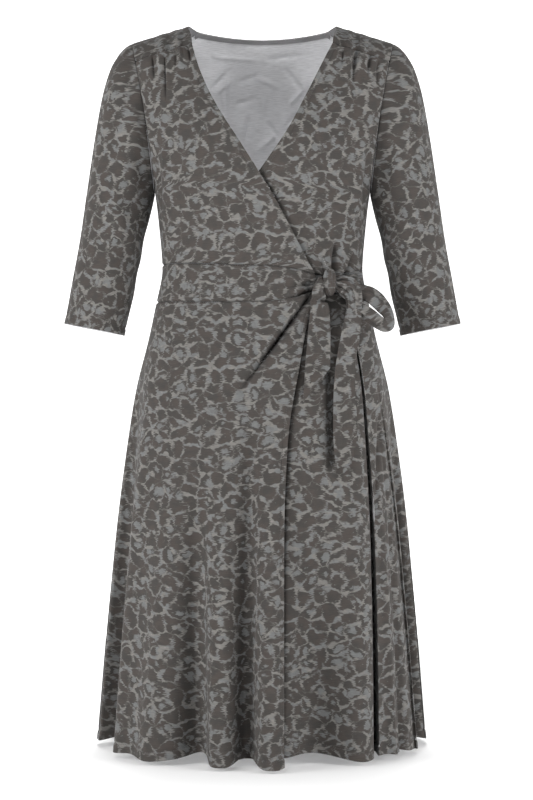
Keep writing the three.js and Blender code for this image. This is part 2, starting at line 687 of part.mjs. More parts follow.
// Knot: a rounded lump, a little squarer than an ellipsoid
function knot() {
  const geometry = new THREE.SphereGeometry(1, 14, 10);
  geometry.deleteAttribute('normal');
  geometry.deleteAttribute('uv');
  geometry.rotateX(Math.PI / 2);
  const merged = mergeVertices(geometry);
  const position = merged.getAttribute('position');
  for (let i = 0; i < position.count; i += 1) {
    const point = new THREE.Vector3().fromBufferAttribute(position, i);
    position.setXYZ(
      i,
      KNOT.x + (power(point.x, KNOT_ROUNDNESS) * KNOT.wide) / 2,
      KNOT.y + (power(point.y, KNOT_ROUNDNESS) * KNOT.deep) / 2,
      KNOT.z + (power(point.z, KNOT_ROUNDNESS) * KNOT.high) / 2,
    );
  }
  merged.computeVertexNormals();
  const mesh = new THREE.Mesh(merged, PRINT);
  mesh.name = 'tie_knot';
  return mesh;
}

const dress = new THREE.Group();
dress.name = 'wrap_dress';
dress.add(...bodiceFronts(), bodiceBack());
dress.add(yoke('yoke_right', -1), yoke('yoke_left', 1));
dress.add(sleeve('sleeve_right', -1), sleeve('sleeve_left', 1));
dress.add(...bands(), ...skirts());
dress.add(neckBinding());
dress.add(knot(), gatheredTie());
dress.add(tieStrip('tie_hook', TIE_HOOK));
dress.add(tieStrip('tie_loop', TIE_LOOP, { steps: [2, 20] }));
dress.add(tieStrip('tie_tail_long', TIE_TAIL_LONG));

export default dress;
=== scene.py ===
import math

import bpy
import numpy as np
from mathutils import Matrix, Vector


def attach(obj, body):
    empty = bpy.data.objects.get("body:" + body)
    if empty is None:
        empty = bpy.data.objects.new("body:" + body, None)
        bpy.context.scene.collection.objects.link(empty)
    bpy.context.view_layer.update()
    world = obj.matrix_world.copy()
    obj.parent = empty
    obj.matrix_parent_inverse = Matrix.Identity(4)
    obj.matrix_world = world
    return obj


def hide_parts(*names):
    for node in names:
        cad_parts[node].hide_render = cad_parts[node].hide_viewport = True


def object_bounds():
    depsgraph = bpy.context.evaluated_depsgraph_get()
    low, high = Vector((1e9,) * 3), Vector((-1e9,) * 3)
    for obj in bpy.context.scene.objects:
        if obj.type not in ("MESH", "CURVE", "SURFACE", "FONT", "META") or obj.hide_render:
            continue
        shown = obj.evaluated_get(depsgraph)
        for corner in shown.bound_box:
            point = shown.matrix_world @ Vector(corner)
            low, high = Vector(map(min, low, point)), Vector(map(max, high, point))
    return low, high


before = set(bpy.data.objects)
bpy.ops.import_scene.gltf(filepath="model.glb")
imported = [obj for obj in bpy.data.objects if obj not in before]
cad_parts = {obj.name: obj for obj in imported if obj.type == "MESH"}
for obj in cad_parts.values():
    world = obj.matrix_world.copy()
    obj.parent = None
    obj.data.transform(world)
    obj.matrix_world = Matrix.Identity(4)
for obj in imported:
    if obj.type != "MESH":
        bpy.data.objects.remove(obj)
CAD_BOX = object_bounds()

# The wrap dress's cloth, in the frame's own place. The tables below are in millimetres, as the pattern
# is cut, and each piece is written in metres. +X is the wearer's left, -Y the front, +Z up.
MM = 0.001


def make_table(columns, *rows):
    """Rows under named columns. A row may leave off its last columns."""
    return [dict(zip(columns, row)) for row in rows]


# Cloth: its thickness, the gaps at seams and armholes, how far the over panel lies above the under one and
# over what share of its width it rises there, and how the under panel falls back where it is hidden
CLOTH = 1.1
SEAM_GAP = 0.3
ARMHOLE_GAP = 0.06
LAYER = 2.5
RISE_SHARE = 0.33
HIDDEN_DROP = 1.2
HIDDEN_FOLD = 0.6
HIDDEN_SKIRT = 7

# Shoulders and neck
NECK_X = 103.6
TIP_X = 182.7
TIP_Z = -24
ROLL = 60
COLLAR_RISE = 0.35
BACK_NECK_Z = -8
FRONT_SEAM = {"neck_x": 97, "neck_z": -31, "arm_x": 174, "arm_z": -53}
BACK_SEAM = {"neck_x": 92, "neck_z": -2, "arm_x": 173, "arm_z": -50}
BINDING_HEIGHT = 5
BINDING_END = 96
ROWS_TO_SHOULDER = 1.5

# Armhole
ARMPIT_X = 150
ARMPIT_Z = -234
ARMPIT_TURN = 5
ARMHOLE_DEPTH = 58
ARMHOLE_HOLLOW = 4

# Levels
BAND_TOP = -333
BAND_BOTTOM = -385
HEM = -996
HEM_DROP = 0.22
HEM_BAND = 12
CUFF_BAND = 10

# Seams, turned edges and stitching: how deep the cloth dips, how far to each side, and the strips' widths
CREASE_SHAPE = 1.4
SEAM_DIP = 2.3
SEAM_REACH = 1.6
ARMHOLE_DIP = 0.25
STITCH_DIP = 1.1
TURNED_EDGE = 7
YOKE_STITCH = 3.5
TURNED_RISE = 0.7
EDGE_GROOVE = {"deep": 5, "wide": 3.6}

# Body rings: level, half the width, depth in front and behind, squareness
RINGS = make_table(
    ("z", "half", "front", "back", "square"),
    (10, 190, 60, 62, 2.5),
    (-31, 185, 74, 74, 2.5),
    (-70, 180, 86, 84, 2.5),
    (-120, 175, 100, 92, 2.5),
    (-185, 160, 106, 94, 2.4),
    (-234, 150, 106, 92, 2.4),
    (-284, 144, 101, 86, 2.3),
    (-333, 140, 97, 82, 2.2),
    (-352, 141, 98, 84, 2.2),
    (-385, 148, 102, 94, 2.15),
    (-437, 159, 112, 112, 2.1),
    (-505, 176, 126, 131, 2.05),
    (-585, 189, 142, 145, 2),
    (-678, 201, 158, 158, 2),
    (-780, 211, 172, 170, 2),
    (-858, 218, 181, 179, 2),
    (-1010, 230, 196, 194, 2),
)

BUST = {"x": 74, "z": -188, "wide": 52, "high": 62, "out": 15}

# Free edge of the over panel, and edge of the under panel
WRAP_EDGE = make_table(
    ("z", "x"),
    (-1010, 25),
    (-692, 28),
    (-603, 32),
    (-547, 37),
    (-480, 49),
    (-423, 59),
    (-387, 68),
    (-352, 71),
    (-335, 62),
    (-255, 20),
    (-213, -5),
    (-180, -26),
    (-122, -62),
    (-74, -84),
    (-31, -97),
)
UNDER_EDGE = make_table(
    ("z", "x"),
    (-1010, -58),
    (-600, -60),
    (-385, -62),
    (-333, -62),
    (-260, -36),
    (-213, -5),
    (-156, 34),
    (-104, 61),
    (-63, 81),
    (-31, 97),
)

# Seams of the midriff band in front
BAND_SEAMS = make_table(
    ("x", "top", "bottom"),
    (-160, -333, -385),
    (-80, -336, -388),
    (-20, -339, -388),
    (20, -340, -386),
    (50, -345, -380),
    (72, -351, -373),
    (95, -352, -374),
    (160, -336, -385),
)

# Skirt folds: the level where each starts, its angle there and at the hem, its half width in degrees, how
# far out it stands at the hem, how soon it grows (below 1 is sooner), how steep its sides are, and the panel
# that has it, or none for all of them
SKIRT_FOLDS = make_table(
    ("top", "top_angle", "hem_angle", "width", "out", "growth", "steep", "on"),
    (-560, 347, 346, 8, 6, 1.2, 2, "back"),
    (-500, 12, 12, 7.5, -40, 1.1, 2.6, ""),
    (-520, 25, 27, 4, 7, 1.2, 2, "under"),
    (-500, 29, 34, 1.5, -8, 0.9, 2, "under"),
    (-540, 35, 40, 2, 6, 1, 2, "under"),
    (-470, 49, 57, 6.5, 20, 1.2, 2, "under"),
    (-600, 70, 72, 10, -26, 1.25, 2, "under"),
    (-540, 87.5, 87.6, 4.6, 27, 1, 3.4, "over"),
    (-470, 95.5, 95.3, 3.7, -24, 0.75, 2.6, "over"),
    (-560, 108, 102.8, 4.7, 25, 1, 3.4, "over"),
    (-600, 117, 113, 4.6, -27, 0.9, 2.4, "over"),
    (-600, 127, 128, 7.5, 19, 1.2, 2, "over"),
    (-520, 149, 147, 4.5, 8, 1, 2, "over"),
    (-480, 161, 160, 7.5, -44, 1.1, 2.6, ""),
    (-560, 184, 185, 8, 3, 1.2, 2, "back"),
    (-620, 196, 196, 5, -18, 1.2, 2, "back"),
    (-560, 207, 208, 7, 20, 1.2, 2, "back"),
    (-600, 223, 222, 5.5, -22, 1.1, 2, "back"),
    (-520, 238, 237, 6.5, 24, 1.2, 2.4, "back"),
    (-640, 252, 252, 5.5, -21, 1, 2, "back"),
    (-540, 267, 268, 6.5, 26, 1.2, 2.4, "back"),
    (-620, 283, 284, 6, -22, 1.1, 2, "back"),
    (-560, 300, 301, 7.5, 22, 1.2, 2.4, "back"),
    (-600, 318, 318, 6, -24, 1.1, 2, "back"),
    (-540, 334, 333, 6, 14, 1.2, 2, "back"),
)

# Pleats that fall straight back from the surface: the panels that have each, where it starts, its angles, its
# half widths in degrees, its depth at the hem, how soon it deepens and how steep its sides are. The slot, the
# first, is the narrow one beside the tie's long tail.
PLEATS = make_table(
    ("on", "top", "top_angle", "hem_angle", "top_width", "hem_width", "deep", "growth", "steep"),
    (("under",), -436, 38.2, 49.6, 0.4, 1.35, 50, 0.5, 4),
    (("over", "back"), -440, 165, 164, 6, 7, 36, 0.8, 2),
    (("under", "back"), -460, 12, 14, 7, 8, 52, 0.9, 2),
    (("under",), -500, 26, 28, 0.8, 1.6, 16, 0.6, 2),
)
SLOT = PLEATS[0]
EDGE_FLARE = {"out": 14, "reach": 0.22, "top": -560}

# Creases of the fronts: ends, width, and out (ridge) or in (trough)
CREASES = make_table(
    ("from_x", "from_z", "to_x", "to_z", "width", "out"),
    (95, -384, 97, -650, 8, -14),
    (-138, -238, -64, -232, 11, -5),
    (138, -236, 60, -250, 11, -5),
    (30, -236, 72, -338, 10, -4),
    (96, -262, 92, -340, 10, -5),
    (-60, -262, 40, -334, 13, -3.5),
)

# Finer creases of the fronts: the panel they are on, their ends, width, out or in, and how far they bow
FINE_CREASES = make_table(
    ("on", "from_x", "from_z", "to_x", "to_z", "width", "out", "bow"),
    ("over", 76, -364, 30, -368, 2.4, -8),
    ("over", 74, -360, 24, -358, 3.5, 2.6),
    ("over", 76, -369, 38, -384, 2.4, -9),
    ("over", 74, -377, 36, -392, 3, 3),
    ("over", 80, -362, 4, -464, 2.8, -12, 1),
    ("over", 46, -407, -36, -518, 3.6, -15, 1),
    ("over", 78, -378, 2, -484, 7, 3),
    ("over", 66, -368, -14, -466, 8, 3),
    ("over", 66, -348, 20, -300, 5, -2.4),
    ("over", 60, -352, -40, -338, 4, -2),
    ("under", 98, -362, 99, -300, 2.4, -11),
    ("under", 91, -356, 91, -316, 3, 3.5),
    ("under", 117, -354, 127, -318, 2.2, -9),
    ("under", 108, -352, 110, -318, 3.5, 3.5),
    ("under", 87, -356, 77, -318, 2.4, -4.5),
    ("under", 84, -366, 87, -402, 7, -13),
    ("under", 132, -398, 147, -430, 5, -11),
    ("under", 90, -352, 80, -318, 2.2, 3.5),
    ("under", 106, -352, 134, -338, 2.4, -4),
    ("under", 161, -540, 151, -690, 2.2, -7, -2),
    ("over", -134, -46, -131, -118, 1.8, -5.5, 1),
    ("over", -140, -48, -138, -96, 3, 2.8),
    ("over", -121, -40, -119, -72, 1.8, -4.5),
    ("over", -114, -38, -112, -74, 2.4, 2.4),
    ("over", -102, -36, -98, -68, 1.8, -4),
    ("over", -107, -37, -105, -60, 2, 2),
    ("over", -151, -48, -148, -86, 2, -4),
    ("over", -146, -190, -138, -266, 3, -4),
    ("over", -138, -150, -130, -250, 3.6, 2.6),
    ("over", -131, -160, -124, -236, 3, -2.6),
    ("under", 128, -42, 123, -92, 1.8, -5.5),
    ("under", 134, -44, 131, -84, 2.8, 2.6),
    ("under", 111, -38, 108, -70, 1.8, -4),
    ("under", 119, -40, 116, -72, 2.4, 2.2),
    ("under", 148, -46, 144, -78, 1.8, -4.5),
    ("under", 160, -52, 157, -96, 2.2, -4),
    ("under", 146, -180, 138, -276, 3, -4.5),
    ("under", 138, -150, 131, -250, 3.6, 2.6),
    ("under", 132, -232, 92, -250, 5, -2.6),
    ("under", 60, -250, 96, -300, 5, -2.6),
)

# Soft crumples of the back, seen on its inner side through the neck
BACK_CREASES = make_table(
    ("from_x", "from_z", "to_x", "to_z", "width", "out", "bow"),
    (-74, -76, -42, -44, 2.6, 4),
    (-66, -80, -40, -60, 3, -2.6),
    (-52, -50, -50, -126, 3, -3, 2),
    (-21, -112, -26, -158, 2.4, 4),
    (5, -120, 27, -148, 2.6, 4),
    (20, -140, -8, -164, 2.6, -4),
    (-40, -96, -6, -86, 3, 3, 2),
    (28, -42, 66, -88, 4, 3.4),
    (38, -98, 64, -70, 2.8, -3.6),
    (54, -108, 28, -132, 2.8, 3.4),
    (-74, -30, 14, -37, 3.4, -2.4),
    (4, -34, 70, -28, 3, 2.2),
    (-12, -58, 28, -74, 3.4, -3),
    (-36, -66, 0, -54, 3, 2.4),
    (4, -84, 2, -116, 3, -2.6),
    (-120, -250, -60, -262, 8, -4),
    (120, -246, 56, -262, 8, -4),
    (-96, -280, -30, -306, 8, -3.5),
    (100, -284, 36, -304, 7, -3.5),
    (-140, -150, -118, -230, 7, -4),
    (140, -150, 120, -228, 7, -4),
)

# Gathers below each front yoke
GATHERS = make_table(
    ("x", "length", "width", "out"),
    (108, 34, 4.5, -3),
    (118, 42, 4.5, 2.5),
    (127, 60, 4.5, -3.5),
    (137, 52, 5, 2.5),
    (147, 44, 4.5, -3),
)

GATHER_LEAN = 6

# Sleeve rings from the armhole to the cuff
SLEEVE_RINGS = make_table(
    ("outer_x", "outer_z", "under_x", "under_z", "depth", "forward"),
    (183.0, -24, 150.3, -234, 58, 0),
    (193, -31, 151.5, -239.5, 60, 0),
    (203, -43, 153.5, -249, 61, 0),
    (213.5, -63, 156.5, -262, 60, 1),
    (224.5, -102, 160.5, -279, 58, 2),
    (236.5, -172, 166.5, -306, 54, 4),
    (245, -232, 172, -338, 51, 7),
    (254, -297, 179, -374, 48, 11),
    (264.5, -358, 186.5, -406, 45, 15),
    (275, -416, 192.5, -432.6, 43, 19),
)

# Creases round a sleeve: place along it, angle round it, reach along and round, and out or in
SLEEVE_CREASES = make_table(
    ("at", "angle", "along", "round", "out"),
    (0.10, 62, 0.12, 13, -4.5),
    (0.16, 90, 0.16, 12, 3),
    (0.30, 128, 0.13, 16, -5),
    (0.52, 142, 0.07, 40, -4),
    (0.62, 120, 0.05, 38, 3),
    (0.70, 148, 0.05, 42, -4),
    (0.60, 300, 0.06, 40, -4),
    (0.72, 268, 0.06, 38, 3),
    (0.12, 292, 0.12, 14, -4),
    (0.88, 60, 0.05, 40, 2),
)

# Tie: strips between two edges, a and b
TIE_CLOTH = 1.6
KNOT = {"x": 91, "y": -95, "z": -362, "wide": 15, "high": 36, "deep": 24}
TIE_HOOK = make_table(
    ("ax", "ay", "az", "bx", "by", "bz"),
    (83.2, -93, -357, 83.2, -93, -371),
    (75, -99, -356, 79, -97, -378),
    (67, -104, -374, 84, -98, -386),
    (66, -107, -394, 90, -97, -396),
    (62, -112, -430, 92, -101, -424),
    (58, -123, -478, 92, -107, -452),
    (55, -134, -525, 91.5, -115, -479),
)
TIE_TAIL_LONG = make_table(
    ("ax", "ay", "az", "bx", "by", "bz"),
    (99, -94, -372, 99, -94, -359),
    (108, -99, -379, 111, -99, -355),
    (114, -104, -389, 125, -103, -358),
    (113, -107, -402, 134, -106, -373),
    (109, -109, -421, 134.5, -109, -400),
    (104, -111, -446, 131, -108, -436),
    (99, -115, -476, 126, -109, -472),
    (96, -121, -514, 125, -113, -512),
    (95.5, -128, -553, 127.5, -119, -548),
    (96, -135, -585, 126, -125, -580),
    (99, -140, -614, 119, -132, -608),
)
TIE_LOOP = make_table(
    ("ax", "ay", "az", "bx", "by", "bz"),
    (98.9, -92, -356, 98.9, -94, -374),
    (111, -90, -358, 111, -98, -383),
    (124, -86, -361, 123, -99, -385),
    (138, -81, -366, 136, -103, -385),
    (152, -77, -370, 143, -106, -388),
    (165, -75, -380, 151, -109, -395),
    (173, -76, -393, 158, -112, -402),
    (176, -80, -409, 164, -116, -408),
    (174, -88, -424, 167, -119, -415),
    (166, -94, -429, 161, -121, -412),
    (153, -96, -424, 150, -118, -402),
    (139, -95, -414, 139, -111, -394),
    (127, -93, -404, 128, -103, -390),
    (117, -91, -399, 118, -99, -391),
)
GATHERED_TIE = {
    "from_x": 99.5,
    "to_x": 135,
    "knot_top": -354,
    "knot_bottom": -379,
    "side_top": -346,
    "side_bottom": -388,
    "stand": 1.4,
    "pleats": 5,
    "pleat_depth": 3.4,
}

# Steps across and along each piece
STEPS = {
    "bodice": (150, 150),
    "bodice_back": (170, 130),
    "yoke": (60, 60),
    "sleeve": (110, 130),
    "band": (160, 32),
    "band_back": (120, 16),
    "skirt": (190, 150),
    "skirt_under": (240, 140),
    "skirt_back": (200, 110),
    "binding": (120, 6),
    "strip": (30, 120),
    "loop": (28, 150),
    "gathers": (72, 30),
    "knot": (90, 50),
}


def mix(low, high, share):
    return low + (high - low) * share


def smooth(share):
    share = np.clip(share, 0, 1)
    return share * share * (3 - 2 * share)


def signed_power(base, exponent):
    return np.sign(base) * np.abs(base) ** exponent


def read(table, key, column, at):
    """Smooth value of a table's column at places along its key column."""
    rows = sorted(table, key=lambda row: row[key])
    keys = np.array([row[key] for row in rows], float)
    values = np.array([row[column] for row in rows], float)
    before = np.maximum(np.arange(len(rows)) - 1, 0)
    after = np.minimum(np.arange(len(rows)) + 1, len(rows) - 1)
    slopes = (values[after] - values[before]) / (keys[after] - keys[before])
    place = np.clip(np.asarray(at, float), keys[0], keys[-1])
    i = np.clip(np.searchsorted(keys, place, side="left") - 1, 0, len(rows) - 2)
    step = keys[i + 1] - keys[i]
    s = (place - keys[i]) / step
    low = (1 + 2 * s) * (1 - s) ** 2 * values[i] + s * (1 - s) ** 2 * step * slopes[i]
    high = s * s * (3 - 2 * s) * values[i + 1] + s * s * (s - 1) * step * slopes[i + 1]
    return low + high


def read_even(table, column, share):
    last = len(table) - 1
    rows = [{"place": i / last, "value": row[column]} for i, row in enumerate(table)]
    return read(rows, "place", "value", share)


def armhole(z):
    """x and half depth of the armhole's edge at a level."""
    middle = (TIP_Z + ARMPIT_Z) / 2
    reach = (TIP_Z - ARMPIT_Z) / 2
    s = np.clip((z - middle) / reach, -1, 1)
    x = mix(ARMPIT_X, TIP_X, (s + 1) / 2) - ARMHOLE_HOLLOW * (1 - s * s)
    return x, ARMHOLE_DEPTH * np.sqrt(1 - s * s)


def shoulder_top(x):
    out = np.abs(x) - NECK_X
    return np.where(out < 0, -out * COLLAR_RISE, out / (TIP_X - NECK_X) * TIP_Z)


def roll_at(x, z):
    below = np.clip((shoulder_top(x) - z) / ROLL, 0, 1)
    return np.sqrt(1 - (1 - below) ** 2)


def ring_at(face, z):
    """Depth, squareness and half width of the body's ring at levels."""
    z = np.asarray(z, float)
    depth = read(RINGS, "z", face, z)
    square = read(RINGS, "z", "square", z)
    low_half = read(RINGS, "z", "half", z)
    level = np.clip(z, ARMPIT_Z, TIP_Z - 3)
    edge_x, edge_depth = armhole(level)
    share = edge_depth / (read(RINGS, "z", face, level) * roll_at(edge_x, level))
    high_half = edge_x / (1 - share**square) ** (1 / square)
    return depth, square, np.where(z <= ARMPIT_Z, low_half, high_half)


def fold_out(degrees, z, panel):
    """How far the folds of a panel of the skirt stand out."""
    out = np.zeros(np.broadcast(degrees, z).shape)
    for fold in SKIRT_FOLDS:
        if fold["on"] not in ("", panel):
            continue
        grown = np.clip((fold["top"] - z) / (fold["top"] - HEM), 0, 1.05)
        centre = mix(fold["top_angle"], fold["hem_angle"], np.minimum(grown, 1))
        off = np.abs((degrees - centre + 540) % 360 - 180) / fold["width"]
        out = out + fold["out"] * grown ** fold["growth"] * np.exp(-(off ** fold["steep"]))
    return out


def pleat_place(pleat, z):
    """How far a pleat has grown at a level, and its angle there."""
    grown = np.clip((pleat["top"] - z) / (pleat["top"] - HEM), 0, 1.05)
    return grown, mix(pleat["top_angle"], pleat["hem_angle"], grown)


def pleats_back(degrees, z, panel):
    """How far the pleats of a panel fall back."""
    back = np.zeros(np.broadcast(degrees, z).shape)
    for pleat in PLEATS:
        if panel in pleat["on"]:
            grown, centre = pleat_place(pleat, z)
            off = np.abs(degrees - centre) / mix(pleat["top_width"], pleat["hem_width"], np.sqrt(grown))
            back = back + pleat["deep"] * grown ** pleat["growth"] * np.exp(-(off ** pleat["steep"]))
    return back


def beside_crease(crease, x, z):
    """Share of the way along a crease, and how far off its line, in its own widths."""
    run_x = crease["to_x"] - crease["from_x"]
    run_z = crease["to_z"] - crease["from_z"]
    length = math.hypot(run_x, run_z)
    off_x = x - crease["from_x"]
    off_z = z - crease["from_z"]
    along = np.clip((off_x * run_x + off_z * run_z) / length**2, 0, 1)
    bow = crease.get("bow", 0) * np.sin(np.pi * along)
    return along, ((off_x * run_z - off_z * run_x) / length - bow) / crease["width"]


def wide_creases(x, z):
    """Creases between two points, each deepest in its middle."""
    out = 0
    for crease in CREASES:
        along, off = beside_crease(crease, x, z)
        out = out + crease["out"] * np.sin(np.pi * along) * np.exp(-off * off)
    return out


def fine_creases(creases, x, z):
    """Narrow creases between two points, each deepest soon after its start."""
    out = 0
    for crease in creases:
        along, off = beside_crease(crease, x, z)
        out = out + crease["out"] * np.sin(np.pi * along**0.7) * np.exp(-(np.abs(off) ** CREASE_SHAPE))
    return out


def front_seam_z(x):
    share = (np.abs(x) - FRONT_SEAM["neck_x"]) / (FRONT_SEAM["arm_x"] - FRONT_SEAM["neck_x"])
    return mix(FRONT_SEAM["neck_z"], FRONT_SEAM["arm_z"], np.maximum(0, share))


def back_top_z(x):
    out = np.abs(x)
    neck = mix(BACK_NECK_Z, BACK_SEAM["neck_z"], (out / BACK_SEAM["neck_x"]) ** 2)
    share = (out - BACK_SEAM["neck_x"]) / (BACK_SEAM["arm_x"] - BACK_SEAM["neck_x"])
    return np.where(out < BACK_SEAM["neck_x"], neck, mix(BACK_SEAM["neck_z"], BACK_SEAM["arm_z"], share))


def crease_out(x, z):
    out = wide_creases(x, z)
    for gather in GATHERS:
        below = (front_seam_z(x) - z) / gather["length"]
        off = (np.abs(x) - gather["x"] + below * GATHER_LEAN) / gather["width"]
        fade = np.clip(1 - np.maximum(0, below), 0, 1)
        out = out + gather["out"] * fade * np.exp(-off * off)
    return out


def seam_dip(distance):
    """The cloth dips into a seam."""
    return -SEAM_DIP * np.exp(-((distance / SEAM_REACH) ** 2))


def turned_strip(from_edge, width):
    """A strip turned under and sewn: two cloths thick, with the dip of its stitching."""
    off = (from_edge - width) / SEAM_REACH
    return TURNED_RISE * smooth((width - from_edge) / 2 + 0.5) - STITCH_DIP * np.exp(-off * off)


def lengths_along(points, axis):
    """Lengths along rows (axis 1) or columns (axis 0) from their start."""
    step = np.linalg.norm(np.diff(points, axis=axis), axis=-1)
    pad = [(1, 0), (0, 0)] if axis == 0 else [(0, 0), (1, 0)]
    return np.cumsum(np.pad(step, pad), axis=axis)


def above_armpit(z, dips):
    """Dips along the armhole only."""
    return np.where(z > ARMPIT_Z - 2, ARMHOLE_DIP * dips, 0)


def front_relief(panel):
    """Finer creases of a front panel, dips at its seams, and the turned strip along its free edge. The under
    panel follows the over panel's deep creases."""
    creases = [crease for crease in FINE_CREASES if crease["on"] == panel]
    pressing = [crease for crease in FINE_CREASES if crease["on"] == "over" and crease["out"] < 0]

    def relief(across, along, points):
        x, z = points[..., 0], points[..., 2]
        out = fine_creases(creases, x, z)
        pucker = np.sin(x / 2.1) + 0.6 * np.sin(x / 1.3 + 2)
        for seam in (band_top(x), band_bottom(x)):
            out = out + seam_dip(z - seam) + 0.25 * pucker * np.exp(-np.abs(z - seam) / 5)
        out = out + seam_dip((z - front_seam_z(x)) * 1.1)
        length = lengths_along(points, 1)
        at_arm = above_armpit(z, seam_dip(length))
        turned = turned_strip(length[:, -1:] - length, TURNED_EDGE)
        if panel == "over":
            return out + at_arm + turned
        beside = x - read(WRAP_EDGE, "z", "x", z)
        out = out + fine_creases(pressing, x, z) * smooth(-beside / 8)
        groove = -EDGE_GROOVE["deep"] * np.exp(-((beside / EDGE_GROOVE["wide"]) ** 2))
        return out + at_arm + groove * smooth((-175 - z) / 12) + turned

    return relief


def back_relief(across, along, points):
    x, z = points[..., 0], points[..., 2]
    length = lengths_along(points, 1)
    at_arm = above_armpit(z, seam_dip(length) + seam_dip(length[:, -1:] - length))
    return fine_creases(BACK_CREASES, x, z) + seam_dip(z - BAND_TOP) + seam_dip(z - BAND_BOTTOM) + at_arm


def hem_relief(inner):
    """A panel's own relief, and the turned strip above its hem."""

    def relief(across, along, points):
        return inner(across, along, points) + turned_strip(lengths_along(points, 0), HEM_BAND)

    return relief


def yoke_relief(across, along, points):
    """Dips along the yoke's seams."""
    length, down = lengths_along(points, 1), lengths_along(points, 0)
    dips = ARMHOLE_DIP * seam_dip(length[:, -1:] - length) + seam_dip(down) + seam_dip(down[-1:] - down)
    off = (down - YOKE_STITCH) / 1.2
    return dips - 0.4 * np.exp(-off * off)


def sleeve_relief(across, along, points):
    """The sleeve's dip at the armhole and the turned strip at its cuff."""
    down = lengths_along(points, 0)
    return ARMHOLE_DIP * seam_dip(down) + turned_strip(down[-1:] - down, CUFF_BAND)


def bust_out(x, z):
    across = (np.abs(x) - BUST["x"]) / BUST["wide"]
    up = (z - BUST["z"]) / BUST["high"]
    return BUST["out"] * np.exp(-across * across - up * up)


def ring_degrees(face, angle):
    degrees = np.degrees(angle)
    return degrees if face == "front" else 360 - degrees


def x_at(face, angle, z):
    depth, square, half = ring_at(face, z)
    return half * signed_power(np.cos(angle), 2 / square)


def body_point(face, angle, z, more_out=0.0, panel="none"):
    """Points of the body's surface. angle runs from the wearer's left to the right, over a face."""
    depth, square, half = ring_at(face, z)
    side = -1 if face == "front" else 1
    x = x_at(face, angle, z)
    y = depth * signed_power(np.sin(angle), 2 / square) * roll_at(x, z)
    if face == "front":
        y = y + (bust_out(x, z) + crease_out(x, z)) * np.sin(angle)
    degrees = ring_degrees(face, angle)
    out = fold_out(degrees, z, panel) + more_out
    towards_x = np.cos(angle) / half
    towards_y = np.sin(angle) / depth
    length = np.hypot(towards_x, towards_y)
    x = x + towards_x / length * out
    y = side * (y + towards_y / length * out) + pleats_back(degrees, z, panel)
    return np.stack([x, y, z + 0 * x], axis=-1)


def angle_at(face, x, z):
    depth, square, half = ring_at(face, z)
    return np.arccos(np.clip(signed_power(x / half, square / 2), -1, 1))


def side_angle(face, z):
    """Angle of the side seam or armhole."""
    depth, square, half = ring_at(face, z)
    low = np.arcsin((SEAM_GAP / 2 / depth) ** (square / 2))
    high = angle_at(face, armhole(np.maximum(z, ARMPIT_Z))[0] - ARMHOLE_GAP / 2, z)
    return mix(low, high, smooth((z - ARMPIT_Z) / ARMPIT_TURN))


def over_lift(across, z, angle):
    on_under = smooth(across / RISE_SHARE) * LAYER
    grown = np.clip((EDGE_FLARE["top"] - z) / (EDGE_FLARE["top"] - HEM), 0, 1)
    return on_under + EDGE_FLARE["out"] * grown * smooth(1 - (1 - across) / EDGE_FLARE["reach"])


def under_lift(across, z, angle):
    edge = angle_at("front", read(WRAP_EDGE, "z", "x", z), z)
    hidden = smooth((angle - edge) / math.radians(5))
    fold = np.maximum(0, -fold_out(np.degrees(angle), z, "over"))
    down = np.clip((BAND_BOTTOM - z) / (BAND_BOTTOM - HEM), 0, 1)
    in_skirt = np.where(z < BAND_BOTTOM, HIDDEN_FOLD * fold + HIDDEN_SKIRT * down, 0)
    return -hidden * (HIDDEN_DROP + in_skirt)


def hem_at(panel, angle):
    face = "back" if panel == "back" else "front"
    return HEM - HEM_DROP * fold_out(ring_degrees(face, angle), np.full_like(angle, HEM), panel)


FRONTS = {
    "over": {"side": -1, "edge": WRAP_EDGE, "lift": over_lift},
    "under": {"side": 1, "edge": UNDER_EDGE, "lift": under_lift},
}
LEVEL_PASSES = 8


def front_panel(panel, bottom_at, top_at):
    """Surface of a front panel, from its side edge to its free edge and from the bottom to the top."""
    front = FRONTS[panel]

    def surface(across, along):
        z = np.full(across.shape, (BAND_BOTTOM + BAND_TOP) / 2)
        for _ in range(LEVEL_PASSES):
            sideward = side_angle("front", z)
            start = sideward if front["side"] > 0 else math.pi - sideward
            angle = mix(start, angle_at("front", read(front["edge"], "z", "x", z), z), across)
            x = x_at("front", angle, z)
            z = mix(bottom_at(x, angle), top_at(x, angle), along)
        return body_point("front", angle, z, front["lift"](across, z, angle), panel)

    return surface


def back_panel(bottom_at, top_at):
    def surface(across, along):
        z = np.full(across.shape, float(BAND_TOP))
        for _ in range(LEVEL_PASSES):
            sideward = side_angle("back", z)
            angle = mix(sideward, math.pi - sideward, across)
            x = x_at("back", angle, z)
            z = mix(bottom_at(x, angle), top_at(x, angle), along)
        return body_point("back", angle, z, 0.0, "back")

    return surface


def towards_top(surface):
    return lambda across, along: surface(across, 1 - (1 - along) ** ROWS_TO_SHOULDER)


